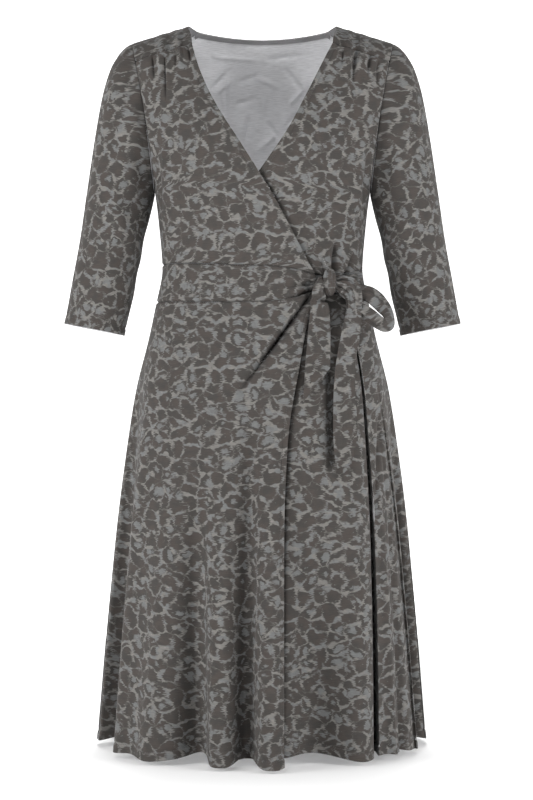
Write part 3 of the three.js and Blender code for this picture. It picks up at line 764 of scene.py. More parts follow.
def yoke_surface(side):
    def surface(across, along):
        front = mix(FRONT_SEAM["neck_x"], NECK_X, smooth(along * 2))
        back = mix(NECK_X, BACK_SEAM["neck_x"], np.clip(along * 2 - 1, 0, 1) ** 2)
        neck_x = np.where(along < 0.5, front, back)
        x = mix(neck_x, TIP_X, across)
        for _ in range(LEVEL_PASSES):
            front_below = shoulder_top(x) - front_seam_z(x) - SEAM_GAP / 2
            back_below = np.maximum(0, shoulder_top(x) - back_top_z(x) - SEAM_GAP / 2)
            turn = mix(-np.arccos(1 - front_below / ROLL), np.arccos(1 - back_below / ROLL), along)
            z = shoulder_top(x) - ROLL * (1 - np.cos(turn))
            x = mix(neck_x, armhole(z)[0] - ARMHOLE_GAP / 2, across)
        in_front = body_point("front", angle_at("front", x, z), z)
        behind = body_point("back", angle_at("back", x, z), z)
        point = np.where((turn < 0)[..., None], in_front, behind)
        return point * np.array([side, 1, 1])

    return surface


def sleeve_surface(side):
    def surface(across, along):
        angle = across * 2 * math.pi
        ring = {column: read_even(SLEEVE_RINGS, column, along) for column in SLEEVE_RINGS[0]}
        at_armhole = np.maximum(0, 1 - along * 12)
        out = np.zeros(across.shape)
        for crease in SLEEVE_CREASES:
            up = (along - crease["at"]) / crease["along"]
            off = ((across * 360 - crease["angle"] + 540) % 360 - 180) / crease["round"]
            out = out + crease["out"] * np.exp(-up * up - off * off)
        size = 1 + out * (1 - at_armhole) / ring["depth"]
        x, z = [
            (ring[f"outer_{way}"] + ring[f"under_{way}"]) / 2
            + (ring[f"outer_{way}"] - ring[f"under_{way}"]) / 2 * np.cos(angle) * size
            for way in ("x", "z")
        ]
        y = -ring["forward"] - ring["depth"] * np.sin(angle) * size
        x = x + ARMHOLE_GAP / 2 - ARMHOLE_HOLLOW * np.sin(angle) ** 2 * at_armhole
        return np.stack([side * x, y, z], axis=-1)

    return surface


# The line down a sleeve and the length round it, for its print
SLEEVE_AXIS = (0.172, 0, -0.985)
SLEEVE_GIRTH = 330


def sleeve_uv(side):
    """Cloth coordinates of a sleeve: round it, and down its length."""
    axis = np.array(SLEEVE_AXIS) * np.array([side, 1, 1])
    return lambda across, points: np.stack([(across - 0.5) * SLEEVE_GIRTH, points @ axis], axis=-1) * MM


def strip_surface(rows):
    def surface(across, along):
        a = np.stack([read_even(rows, key, along) for key in ("ax", "ay", "az")], axis=-1)
        b = np.stack([read_even(rows, key, along) for key in ("bx", "by", "bz")], axis=-1)
        return mix(a, b, across[..., None])

    return surface


def rounded_folds(turns):
    """Round ridges with narrow valleys between them, from -1 to 1."""
    return 2 * np.abs(np.cos(turns * math.pi)) ** 0.6 - 1


def pleated(count, depth, reach, start=0.0, least=0.15):
    """Pleats along a strip, deepest where it is drawn into the knot."""

    def relief(across, along, points):
        drawn = least + (1 - least) * np.exp(-((along - start) / reach) ** 2)
        folds = rounded_folds(across * count + 0.25 * np.sin(along * 5))
        return depth * drawn * (folds + 0.35 * np.cos(across * 11 + along * 7))

    return relief


def knot_relief(across, along, points):
    """Folds of the band that wraps the knot, running up and down it."""
    turn = across * 2 * math.pi
    return 1.7 * np.cos(5 * turn + 1.2 * np.sin(along * math.pi)) * np.sin(math.pi * along) ** 0.5


def hook_relief(across, along, points):
    """Pleats of the short end, and the step where its fold beside the knot stands on the hanging part."""
    fold_end = 0.44 - 0.09 * across
    fold = 3 + 4 * np.sin(math.pi * across) ** 0.7
    step = fold * smooth((fold_end - along) / 0.02) * smooth(along / 0.1)
    groove = (2 + 3 * across) * np.exp(-(((along - fold_end - 0.03) / 0.03) ** 2))
    return pleated(3, 1.5, 0.42)(across, along, points) + step - groove


def loop_relief(across, along, points):
    """The loop's bands are round, and pleated where they are drawn in."""
    drawn = np.exp(-((along / 0.25) ** 2)) + np.exp(-(((along - 1) / 0.25) ** 2))
    pleat = (1.4 + 1.4 * drawn) * np.cos(across * 2.5 * 2 * math.pi + 2 * along)
    return pleat + 6.5 * np.sin(math.pi * across) ** 0.8


def gathered_surface(across, along):
    tie = GATHERED_TIE
    top = mix(tie["knot_top"], tie["side_top"], along)
    bottom = mix(tie["knot_bottom"], tie["side_bottom"], along)
    z = mix(bottom, top, across)
    start = angle_at("front", tie["from_x"], z)
    end = np.minimum(start, angle_at("front", tie["to_x"], z) + math.radians(3))
    pleat = tie["pleat_depth"] * rounded_folds(across * tie["pleats"]) * (1 - along * 0.5)
    return body_point("front", mix(start, end, along), z, tie["stand"] + tie["pleat_depth"] + pleat)


def inward_axis(points):
    return -points * np.array([1, 1, 0])


def inward_down(points):
    return np.broadcast_to(np.array([0.0, 0, -1]), points.shape)


def inward_back(points):
    return np.broadcast_to(np.array([0.0, 1, 0]), points.shape)


def inward_neck(points):
    """Towards the neck's hollow, from behind it."""
    return points * np.array([0, -1, 0]) + np.array([0, 0, -ROLL])


def inward_ring(points):
    """Towards each row's own middle."""
    return points.mean(axis=1, keepdims=True) - points


def normals_of(points, inward, closed):
    if closed:
        points = points[:, :-1]
        around = np.roll(points, -1, axis=1) - np.roll(points, 1, axis=1)
    else:
        around = np.gradient(points, axis=1)
    normal = np.cross(around, np.gradient(points, axis=0))
    normal /= np.maximum(np.linalg.norm(normal, axis=-1, keepdims=True), 1e-9)
    if np.sum(normal * inward(points), axis=-1).sum() > 0:
        normal = -normal
    return np.concatenate([normal, normal[:, :1]], axis=1) if closed else normal


def cloth_uv(points, offset):
    """Cloth coordinates in metres: along the rows from the middle, and down the columns."""
    u = lengths_along(points, 1)
    u -= u[:, points.shape[1] // 2][:, None]
    return np.stack([u, lengths_along(points, 0)], axis=-1) * MM + np.array(offset)


def panel_uv(from_x, slope=1.0):
    """Cloth coordinates of a panel: along its rows from one upright line, and straight down."""

    def uv_at(across, points):
        x = points[..., 0]
        u = lengths_along(points, 1)
        rows = np.arange(len(points))
        start = u[rows, np.abs(x - from_x).argmin(axis=1)]
        u = u - np.polyval(np.polyfit(rows, start, 5), rows)[:, None]
        way = np.sign(x[0, -1] - x[0, 0])
        return np.stack([way * u, -slope * points[..., 2]], axis=-1) * MM

    return uv_at


# The skirt's cloth lies on a slope, so it is this much longer than it is high
SKIRT_SLOPE = 1.04


def level_uv(across, points):
    """Cloth coordinates of a hanging strip: straight across and straight down."""
    return points[..., [0, 2]] * np.array([1, -1]) * MM


# Places in a piece's list of materials. The third is painted shade, for rims and allowances in seams
OUTER, INNER, PAINTED_SHADE, FACED = range(4)


def shell_faces(steps, uv, closed, sewn, lining):
    """Quads of a shell, with their cloth coordinates and materials: outer face, inner face and rims."""
    across_steps, along_steps = steps
    columns = across_steps if closed else across_steps + 1
    count = (along_steps + 1) * columns
    i, j = np.meshgrid(np.arange(across_steps), np.arange(along_steps))

    def index(i, j):
        return j * columns + i % columns

    corners = [(i, j), (i + 1, j), (i + 1, j + 1), (i, j + 1)]
    quads = np.stack([index(*corner) for corner in corners], axis=-1).reshape(-1, 4)
    quad_uv = np.stack([uv[row, column] for column, row in corners], axis=-2).reshape(-1, 4, 2)
    inside = np.full(len(quads), INNER) if lining is None else lining(i, j).reshape(-1)
    faces = [quads, quads[:, ::-1] + count]
    uvs = [quad_uv, quad_uv[:, ::-1]]
    kinds = [np.full(len(quads), OUTER), inside]

    def rim(place, first, second):
        low, high = index(*first), index(*second)
        low_uv, high_uv = uv[first[::-1]], uv[second[::-1]]
        faces.append(np.stack([high, low, low + count, high + count], axis=-1))
        uvs.append(np.stack([high_uv, low_uv, low_uv, high_uv], axis=-2))
        # Rims in a seam take the painted seam shade
        kinds.append(np.full(len(low), PAINTED_SHADE if place in sewn else OUTER))

    k = np.arange(across_steps)
    rim("start", (k, 0), (k + 1, 0))
    rim("end", (k + 1, along_steps), (k, along_steps))
    if not closed:
        k = np.arange(along_steps)
        rim("far", (across_steps, k), (across_steps, k + 1))
        rim("near", (0, k + 1), (0, k))
    return np.concatenate(faces), np.concatenate(uvs), np.concatenate(kinds)


SHELLS = {}


def make_shell(name, surface, steps, inward=inward_axis, closed=False, thickness=CLOTH, lift=0.0,
               relief=None, rows_at=None, columns_at=None, uv_at=None, uv_offset=(0, 0), materials=None,
               sewn=(), lining=None):
    """A closed shell of cloth: an outer face, an inner face a cloth's thickness in, and rims between them.
    sewn names the rims that lie in a seam, which are painted dark as seam shade, and lining picks the inner
    face's material, step by step."""
    across_steps, along_steps = steps
    rows = np.linspace(0, 1, along_steps + 1) if rows_at is None else rows_at(along_steps)
    across, along = np.meshgrid(np.linspace(0, 1, across_steps + 1), rows)
    if columns_at is not None:
        across = columns_at(across_steps, along[:, 0])
    points = surface(across, along)
    uv = cloth_uv(points, uv_offset) if uv_at is None else uv_at(across, points) + np.array(uv_offset)
    normal = normals_of(points, inward, closed)
    rise = lift if relief is None else lift + relief(across, along, points)
    outer = points + normal * np.broadcast_to(rise, across.shape)[..., None]
    inner = outer - normal * thickness
    SHELLS[name] = {"outer": outer, "normal": normal}
    columns = across_steps if closed else across_steps + 1
    vertices = np.concatenate([face[:, :columns].reshape(-1, 3) for face in (outer, inner)])
    faces, uvs, kinds = shell_faces(steps, uv, closed, sewn, lining)

    # The faces are turned round where they would wind inwards
    first = vertices[faces[:, 0]]
    corner = np.cross(vertices[faces[:, 1]] - first, vertices[faces[:, 2]] - first)
    other = np.cross(vertices[faces[:, 2]] - first, vertices[faces[:, 3]] - first)
    if np.sum(first * (corner + other)) < 0:
        faces, uvs = faces[:, ::-1], uvs[:, ::-1]
    return mesh_object(name, vertices * MM, faces, uvs, kinds, materials or TWO_SIDED)


def mesh_object(name, vertices, faces, uvs, kinds, materials):
    mesh = bpy.data.meshes.new(name)
    mesh.vertices.add(len(vertices))
    mesh.vertices.foreach_set("co", np.ascontiguousarray(vertices, np.float32).ravel())
    mesh.loops.add(faces.size)
    mesh.loops.foreach_set("vertex_index", np.ascontiguousarray(faces, np.int32).ravel())
    mesh.polygons.add(len(faces))
    mesh.polygons.foreach_set("loop_start", np.arange(0, faces.size, 4, dtype=np.int32))
    mesh.polygons.foreach_set("material_index", np.ascontiguousarray(kinds, np.int32))
    mesh.update(calc_edges=True)
    mesh.validate()
    layer = mesh.uv_layers.new(name="cloth")
    layer.data.foreach_set("uv", np.ascontiguousarray(uvs, np.float32).ravel())
    mesh.polygons.foreach_set("use_smooth", np.ones(len(faces), bool))
    mesh.set_sharp_from_angle(angle=math.radians(55))
    for material in materials:
        mesh.materials.append(material)
    obj = bpy.data.objects.new(name, mesh)
    bpy.context.scene.collection.objects.link(obj)
    return obj


class Nodes:
    """Short calls for building a material's node tree."""

    def __init__(self, name):
        self.material = bpy.data.materials.new(name)
        self.material.use_nodes = True
        self.tree = self.material.node_tree
        self.tree.nodes.clear()

    def add(self, kind, settings=None, **inputs):
        node = self.tree.nodes.new(kind)
        for key, value in (settings or {}).items():
            setattr(node, key, value)
        for key, value in inputs.items():
            self.put(node, key.replace("_", " "), value)
        return node

    def put(self, node, name, value):
        socket = node.inputs[int(name[1:])] if name[0] == "i" and name[1:].isdigit() else node.inputs[name]
        if isinstance(value, bpy.types.NodeSocket):
            self.tree.links.new(value, socket)
        else:
            socket.default_value = value

    def math(self, operation, first, second=0.0, third=None, clamp=False):
        node = self.add("ShaderNodeMath", {"operation": operation, "use_clamp": clamp}, i0=first, i1=second)
        if third is not None:
            self.put(node, "i2", third)
        return node.outputs[0]

    def ramp(self, value, low, high, to_low=0.0, to_high=1.0):
        """Smooth step from one value to another."""
        node = self.add("ShaderNodeMapRange", {"interpolation_type": "SMOOTHSTEP"})
        for place, item in enumerate((value, low, high, to_low, to_high)):
            self.put(node, f"i{place}", item)
        return node.outputs[0]

    def blend(self, share, low, high):
        node = self.add("ShaderNodeMix", {"data_type": "RGBA"})
        self.put(node, "i0", share)
        self.put(node, "i6", low)
        self.put(node, "i7", high)
        return node.outputs[2]

    def noise(self, vector, scale, detail=2.0, roughness=0.5):
        node = self.add("ShaderNodeTexNoise", Vector=vector, Scale=scale, Detail=detail, Roughness=roughness)
        return node.outputs[0]

    def voronoi(self, feature, place):
        settings = {"feature": feature, "voronoi_dimensions": "2D"}
        return self.add("ShaderNodeTexVoronoi", settings, Vector=place, Scale=CELLS_PER_METRE, Randomness=1.0)

    def stretched(self, vector, x, y, shift=0.0):
        node = self.add("ShaderNodeMapping", Vector=vector, Scale=(x, y, 1), Location=(shift, shift * 0.7, 0))
        return node.outputs[0]

    def finish(self, shader):
        output = self.tree.nodes.new("ShaderNodeOutputMaterial")
        self.tree.links.new(shader.outputs[0], output.inputs[0])
        return self.material


def linear(red, green, blue):
    """Linear colour of an 8-bit display colour."""
    def one(value):
        value /= 255
        return value / 12.92 if value <= 0.04045 else ((value + 0.055) / 1.055) ** 2.4

    return (one(red), one(green), one(blue), 1)


DARK = linear(58, 56, 54)
DARK_WARM = linear(65, 60, 57)
LIGHT = linear(106, 104, 101)
LIGHT_COOL = linear(99, 100, 100)
THREAD = linear(122, 118, 114)
REVERSE = linear(221, 221, 223)
REVERSE_LIGHT = linear(232, 232, 234)
BINDING_GREY = linear(128, 127, 128)
BINDING_LIGHT = linear(142, 141, 142)
# Grey of the sewing thread, also used as painted shade on the cut edges and allowances in seams
SEWING_AND_SEAM_SHADE_GREY = linear(48, 46, 45)
SEWING_LIGHT = linear(88, 87, 88)

CELLS_PER_METRE = 49
CELL_HEIGHT = 0.89


def print_colour(n, uv):
    """Dark patches parted by a light net, many with a light middle, all with sides made ragged where the
    dye has run along the rows of the knit."""
    split = n.add("ShaderNodeSeparateXYZ", Vector=uv)
    runs = n.noise(n.stretched(uv, 110, 800), 1.0, 1.0, 0.6)
    drift = n.noise(n.stretched(uv, 45, 45, 9), 1.0, 2.0)
    drift_down = n.noise(n.stretched(uv, 45, 45, 17), 1.0, 2.0)
    ragged_side = n.math("MULTIPLY_ADD", runs, 0.014, -0.007)
    x = n.math("ADD", split.outputs[0], n.math("MULTIPLY_ADD", drift, 0.022, ragged_side))
    y = n.math("MULTIPLY_ADD", drift_down, 0.022, split.outputs[1])
    place = n.add("ShaderNodeCombineXYZ", X=x, Y=n.math("DIVIDE", y, CELL_HEIGHT)).outputs[0]
    cell = n.voronoi("F1", place)
    edge = n.voronoi("DISTANCE_TO_EDGE", place).outputs["Distance"]
    chance = n.add("ShaderNodeSeparateColor", Color=cell.outputs["Color"]).outputs[0]

    spread = n.noise(n.stretched(uv, 60, 75, 29), 1.0, 2.0, 0.55)
    net_width = n.ramp(spread, 0.38, 0.7, -0.012, 0.15)
    net = n.ramp(n.math("SUBTRACT", edge, net_width), -0.03, 0.085, 1.0, 0.0)
    ragged = n.noise(n.stretched(uv, 150, 150, 41), 1.0, 2.0, 0.6)
    middle_size = n.ramp(chance, 0.35, 0.9, 0.0, 0.31)
    reach = n.math("ADD", cell.outputs["Distance"], n.math("MULTIPLY_ADD", ragged, 0.4, -0.18))
    middle = n.ramp(n.math("SUBTRACT", reach, middle_size), -0.05, 0.05, 1.0, 0.0)

    patch = n.noise(n.stretched(uv, 60, 70, 53), 1.0, 2.0)
    dark = n.blend(n.ramp(patch, 0.35, 0.65), DARK, DARK_WARM)
    net_colour = n.blend(n.ramp(patch, 0.42, 0.6), LIGHT, LIGHT_COOL)
    colour = n.blend(n.math("MULTIPLY", middle, n.ramp(ragged, 0.25, 0.6, 0.75, 1.0)), dark, LIGHT_COOL)
    colour = n.blend(n.math("MULTIPLY", net, n.ramp(spread, 0.3, 0.52, 0.42, 1.0)), colour, net_colour)
    thread = n.ramp(n.noise(n.stretched(uv, 170, 500, 83), 1.0, 1.0, 0.6), 0.58, 0.7)
    return n.blend(n.math("MULTIPLY", n.math("MULTIPLY", thread, net), 0.6), colour, THREAD)


def jersey(name, colour_of):
    """Matt jersey: fine uneven rows of the knit in its colour, roughness and surface."""
    n = Nodes(name)
    uv = n.add("ShaderNodeUVMap", {"uv_map": "cloth"}).outputs[0]
    slub = n.noise(n.stretched(uv, 80, 1500, 5), 1.0, 2.0)
    knit = n.noise(n.stretched(uv, 1300, 900, 61), 1.0, 1.0)
    shade = n.ramp(slub, 0.3, 0.7, 0.86, 1.12)
    shaded = n.add("ShaderNodeHueSaturation", Color=colour_of(n, uv), Value=shade)
    height = n.math("ADD", n.math("MULTIPLY", slub, 0.6), n.math("MULTIPLY", knit, 0.4))
    bump = n.add("ShaderNodeBump", Height=height, Strength=0.25, Distance=0.0006)
    shader = n.add("ShaderNodeBsdfPrincipled", Roughness=n.ramp(slub, 0.3, 0.7, 0.84, 0.93),
                   Normal=bump.outputs[0])
    n.put(shader, "Base Color", shaded.outputs[0])
    n.put(shader, "Specular IOR Level", 0.2)
    n.put(shader, "Sheen Weight", 0.06)
    n.put(shader, "Sheen Roughness", 0.5)
    return n.finish(shader)


def plain_colour(base, light):
    """Colour of the cloth's plain side, a little clouded."""

    def colour(n, uv):
        cloud = n.noise(n.stretched(uv, 14, 20, 3), 1.0, 3.0)
        return n.blend(n.ramp(cloud, 0.35, 0.65), base, light)

    return colour


PRINT = jersey("print_jersey", print_colour)
INSIDE = jersey("reverse_jersey", plain_colour(REVERSE, REVERSE_LIGHT))
BINDING = jersey("binding", plain_colour(BINDING_GREY, BINDING_LIGHT))
SEWING = jersey("sewing_thread", plain_colour(SEWING_AND_SEAM_SHADE_GREY, SEWING_LIGHT))
# Painted shade: the cut edges and allowances in seams are painted this dark grey, standing in for the shade
# inside a seam
PAINTED_SEAM_SHADE = jersey("seam", plain_colour(SEWING_AND_SEAM_SHADE_GREY, SEWING_AND_SEAM_SHADE_GREY))
TWO_SIDED = (PRINT, INSIDE, PAINTED_SEAM_SHADE, BINDING)
ALL_PRINT = (PRINT, PRINT, PAINTED_SEAM_SHADE, PRINT)


def dress(name, nodes):
    """Attach a finished piece of cloth to the root, and hide the parts of the model that it stands for."""
    obj = bpy.data.objects[name]
    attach(obj, "root")
    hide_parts(*nodes)
    return obj


HALF_GAP = SEAM_GAP / 2


def band_top(x, angle=None):
    return read(BAND_SEAMS, "x", "top", x)


def band_bottom(x, angle=None):
    return read(BAND_SEAMS, "x", "bottom", x)


def level(z):
    return lambda x, angle: np.full_like(x, z)


def columns_in_neck(count, along):
    """Columns across the back, closer together where its inner side shows through the neck."""
    row = np.interp(np.linspace(0, 1, count + 1), (0, 0.18, 0.82, 1), (0, 0.3, 0.7, 1))
    return np.tile(row, (len(along), 1))


def rows_at_hem(count):
    """Rows up a panel of the skirt, close together in the turned strip above the hem, in the creases from
    the knot and at the seam."""
    share = np.array([0, 0.07, 0.47, 0.96, 1])
    turn = 1.25 * HEM_BAND / (BAND_BOTTOM - HEM)
    return np.interp(np.linspace(0, 1, count + 1), share, (0, turn, 0.74, 0.991, 1))


def rows_at_seam(count):
    """Rows up the bodice, close together at the band's seam."""
    return np.interp(np.linspace(0, 1, count + 1), (0, 0.045, 1), (0, 0.014, 1))


def rows_between_seams(count):
    """Rows up the band, close together at both seams."""
    share = np.linspace(0, 1, count + 1)
    return mix(share, (1 - np.cos(np.pi * share)) / 2, 0.7)


def neck_facing(i, j):
    """The yoke's neck edge is faced with the binding."""
    return np.where(i < 6, FACED, INNER)


def seam_allowance_shade(i, j):
    """The sleeve's seam allowance at the armhole is painted dark, as painted shade in the seam."""
    return np.where(j < 5, PAINTED_SHADE, INNER)


def side_allowance_shade(i, j):
    """The back's seam allowances at the armholes are painted dark, as painted shade in the seams."""
    return np.where((i < 4) | (i >= STEPS["bodice_back"][0] - 4), PAINTED_SHADE, INNER)


# Bodice
bodice_bounds = (lambda x, a: band_top(x) + HALF_GAP, lambda x, a: front_seam_z(x) - HALF_GAP)
for panel, uv_from, uv_offset in (("over", -120, (0, 0)), ("under", 120, (2.1, 0.3))):
    make_shell(f"bodice_{panel}_cloth", towards_top(front_panel(panel, *bodice_bounds)), STEPS["bodice"],
               uv_offset=uv_offset, uv_at=panel_uv(uv_from), rows_at=rows_at_seam, relief=front_relief(panel),
               sewn=("start", "end", "near"))
back_bounds = (level(BAND_TOP + HALF_GAP), lambda x, a: back_top_z(x) - HALF_GAP)
make_shell("bodice_back_cloth", towards_top(back_panel(*back_bounds)), STEPS["bodice_back"],
           uv_offset=(4.3, 0.7), uv_at=panel_uv(0), columns_at=columns_in_neck, relief=back_relief,
           sewn=("start", "near", "far"), lining=side_allowance_shade)
for side, word in ((-1, "right"), (1, "left")):
    make_shell(f"yoke_{word}_cloth", yoke_surface(side), STEPS["yoke"], inward=inward_down,
               relief=yoke_relief, uv_offset=(6 + side, 0.2), sewn=("start", "end", "far"),
               lining=neck_facing)
    make_shell(f"sleeve_{word}_cloth", sleeve_surface(side), STEPS["sleeve"], inward=inward_ring, closed=True,
               relief=sleeve_relief, uv_offset=(9 + side, 0.4), uv_at=sleeve_uv(side), sewn=("start",),
               lining=seam_allowance_shade)

# Midriff band
band_bounds = (lambda x, a: band_bottom(x) + HALF_GAP, lambda x, a: band_top(x) - HALF_GAP)
for panel, uv_from, uv_offset in (("over", -100, (11.2, 0.1)), ("under", 110, (12.4, 0.5))):
    make_shell(f"band_{panel}_cloth", front_panel(panel, *band_bounds), STEPS["band"], uv_offset=uv_offset,
               uv_at=panel_uv(uv_from), rows_at=rows_between_seams, relief=front_relief(panel),
               sewn=("start", "end", "near"))
make_shell("band_back_cloth", back_panel(level(BAND_BOTTOM + HALF_GAP), level(BAND_TOP - HALF_GAP)),
           STEPS["band_back"], uv_offset=(13.7, 0.3), uv_at=panel_uv(0), relief=back_relief,
           sewn=("start", "end", "near", "far"))


# Skirt
def skirt_bounds(panel):
    return lambda x, a: hem_at(panel, a), lambda x, a: band_bottom(x) - HALF_GAP


def columns_at_slot(count, along):
    """Columns across the under panel: close together, and straight down, where the slot falls back."""
    even = np.linspace(0, 1, count + 1)
    window = 0.034
    rows = []
    for share in along:
        z = mix(HEM, BAND_BOTTOM, share)
        edge = angle_at("front", read(UNDER_EDGE, "z", "x", z), z)
        at = math.radians(pleat_place(SLOT, z)[1]) / edge
        rows.append(np.interp(even, (0, 0.3, 0.52, 1), (0, at - window, at + window, 1)))
    return np.array(rows)


make_shell("skirt_over_cloth", front_panel("over", *skirt_bounds("over")), STEPS["skirt"],
           uv_offset=(15.1, 0.2), uv_at=panel_uv(-60, SKIRT_SLOPE), rows_at=rows_at_hem,
           relief=hem_relief(front_relief("over")), sewn=("end", "near"))
make_shell("skirt_under_cloth", front_panel("under", *skirt_bounds("under")), STEPS["skirt_under"],
           uv_offset=(17.3, 0.6), uv_at=panel_uv(70, SKIRT_SLOPE), columns_at=columns_at_slot,
           rows_at=rows_at_hem, relief=hem_relief(front_relief("under")), sewn=("end", "near"))
make_shell("skirt_back_cloth", back_panel(lambda x, a: hem_at("back", a), level(BAND_BOTTOM - HALF_GAP)),
           STEPS["skirt_back"], uv_offset=(19.9, 0.9), uv_at=panel_uv(0, SKIRT_SLOPE), rows_at=rows_at_hem,
           relief=hem_relief(back_relief), sewn=("end", "near", "far"))


def binding_surface(across, along):
    x = mix(-BINDING_END, BINDING_END, across)
    z = back_top_z(x) - 0.3 - BINDING_HEIGHT * (1 - along)
    return body_point("back", angle_at("back", x, z), z)


make_shell("neck_binding_cloth", binding_surface, STEPS["binding"], inward=inward_neck,
           lift=-CLOTH - SEAM_GAP, materials=(BINDING, BINDING))

# Tie
TIE_STRIPS = make_table(
    ("name", "edges", "steps", "relief", "uv_offset"),
    ("tie_hook_cloth", TIE_HOOK, "strip", hook_relief, (22, 0)),
    ("tie_tail_cloth", TIE_TAIL_LONG, "strip", pleated(4, 3, 0.22), (22.5, 0)),
    ("tie_loop_cloth", TIE_LOOP, "loop", loop_relief, (23, 0)),
)
for strip in TIE_STRIPS:
    make_shell(strip["name"], strip_surface(strip["edges"]), STEPS[strip["steps"]], inward=inward_back,
               thickness=TIE_CLOTH, relief=strip["relief"], uv_offset=strip["uv_offset"], uv_at=level_uv,
               materials=ALL_PRINT)
make_shell("tie_gathers_cloth", gathered_surface, STEPS["gathers"], uv_offset=(23.5, 0), uv_at=level_uv,
           materials=ALL_PRINT)


def knot_surface(across, along):
    turn = across * 2 * math.pi
    tilt = mix(-math.pi / 2 * 0.96, math.pi / 2 * 0.96, along)
    x = KNOT["x"] + KNOT["wide"] / 2 * signed_power(np.cos(turn) * np.cos(tilt), 0.8)
    y = KNOT["y"] + KNOT["deep"] / 2 * signed_power(np.sin(turn) * np.cos(tilt), 0.8)
    z = KNOT["z"] + KNOT["high"] / 2 * signed_power(np.sin(tilt), 0.8)
    return np.stack([x, y, z], axis=-1)


make_shell("tie_knot_cloth", knot_surface, STEPS["knot"], inward=inward_ring, closed=True,
           uv_offset=(24, 0), uv_at=level_uv, relief=knot_relief, materials=ALL_PRINT)


# Stitches, with the shares of their length and width that their rounded tops are set in
STITCH = {"long": 2.5, "pitch": 3.3, "wide": 0.55, "high": 0.18, "sunk": 0.5, "inset": 0.22, "top": 0.6}
BOX_QUADS = np.array([(0, 3, 2, 1), (4, 5, 6, 7), (0, 1, 5, 4), (1, 2, 6, 5), (2, 3, 7, 6), (3, 0, 4, 7)])


def sample(values, run, at):
    """Points at distances along a line of points."""
    return np.stack([np.interp(at, run, values[:, k]) for k in range(3)], axis=-1)


def stitch_boxes(path, normal):
    """Small rounded bars of thread along a path: one each pitch, as eight-cornered boxes."""
    step = np.linalg.norm(np.diff(path, axis=0), axis=1)
    run = np.concatenate([[0], np.cumsum(step)])
    starts = np.arange(STITCH["pitch"] / 2, run[-1] - STITCH["long"], STITCH["pitch"])
    first, last = sample(path, run, starts), sample(path, run, starts + STITCH["long"])
    up = sample(normal, run, starts + STITCH["long"] / 2)
    up /= np.linalg.norm(up, axis=-1, keepdims=True)
    ahead = (last - first) / np.linalg.norm(last - first, axis=-1, keepdims=True)
    side = np.cross(up, ahead) * STITCH["wide"] / 2
    low, high = -up * STITCH["sunk"], up * STITCH["high"]
    inset = ahead * STITCH["long"] * STITCH["inset"]
    ends = [(first, -1), (first, 1), (last, 1), (last, -1)]
    tops = [(first + inset, -1), (first + inset, 1), (last - inset, 1), (last - inset, -1)]
    corners = [end + side * way + low for end, way in ends]
    corners += [end + side * way * STITCH["top"] + high for end, way in tops]
    vertices = np.stack(corners, axis=1).reshape(-1, 3)
    faces = (np.arange(len(starts))[:, None, None] * 8 + BOX_QUADS).reshape(-1, 4)
    return vertices, faces


def counted_from(edge, grid):
    """A piece's grid with its lines counted from one of its edges."""
    if edge in ("near", "far"):
        grid = np.swapaxes(grid, 0, 1)
    return grid[::-1] if edge in ("end", "far") else grid


def sew(name, cloth, lines):
    """Rows of stitches on a piece's outer face. lines are (distance from an edge, which edge)."""
    vertices, faces, total = [], [], 0
    for distance, edge in lines:
        outer = counted_from(edge, SHELLS[cloth]["outer"])
        normal = counted_from(edge, SHELLS[cloth]["normal"])
        run = lengths_along(outer, 0)
        lanes = range(run.shape[1])
        path = np.array([sample(outer[:, i], run[:, i], distance) for i in lanes])
        ups = np.array([sample(normal[:, i], run[:, i], distance) for i in lanes])
        points, quads = stitch_boxes(path, ups)
        vertices.append(points)
        faces.append(quads + total)
        total += len(points)
    vertices, faces = np.concatenate(vertices), np.concatenate(faces)
    uvs = vertices[faces][:, :, [0, 2]] * MM
    obj = mesh_object(name, vertices * MM, faces, uvs, np.full(len(faces), OUTER), (SEWING,))
    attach(obj, "root")
    return obj


SEWN_LINES = {
    "skirt_over_cloth": [(HEM_BAND, "start"), (TURNED_EDGE, "far")],
    "skirt_under_cloth": [(HEM_BAND, "start")],
    "skirt_back_cloth": [(HEM_BAND, "start")],
    "bodice_over_cloth": [(TURNED_EDGE, "far")],
    "bodice_under_cloth": [(TURNED_EDGE, "far")],
    "band_over_cloth": [(TURNED_EDGE, "far")],
    "sleeve_right_cloth": [(CUFF_BAND, "end")],
    "sleeve_left_cloth": [(CUFF_BAND, "end")],
    "yoke_right_cloth": [(YOKE_STITCH, "start")],
    "yoke_left_cloth": [(YOKE_STITCH, "start")],
}
for cloth, lines in SEWN_LINES.items():
    sew(cloth.replace("_cloth", "_stitches"), cloth, lines)

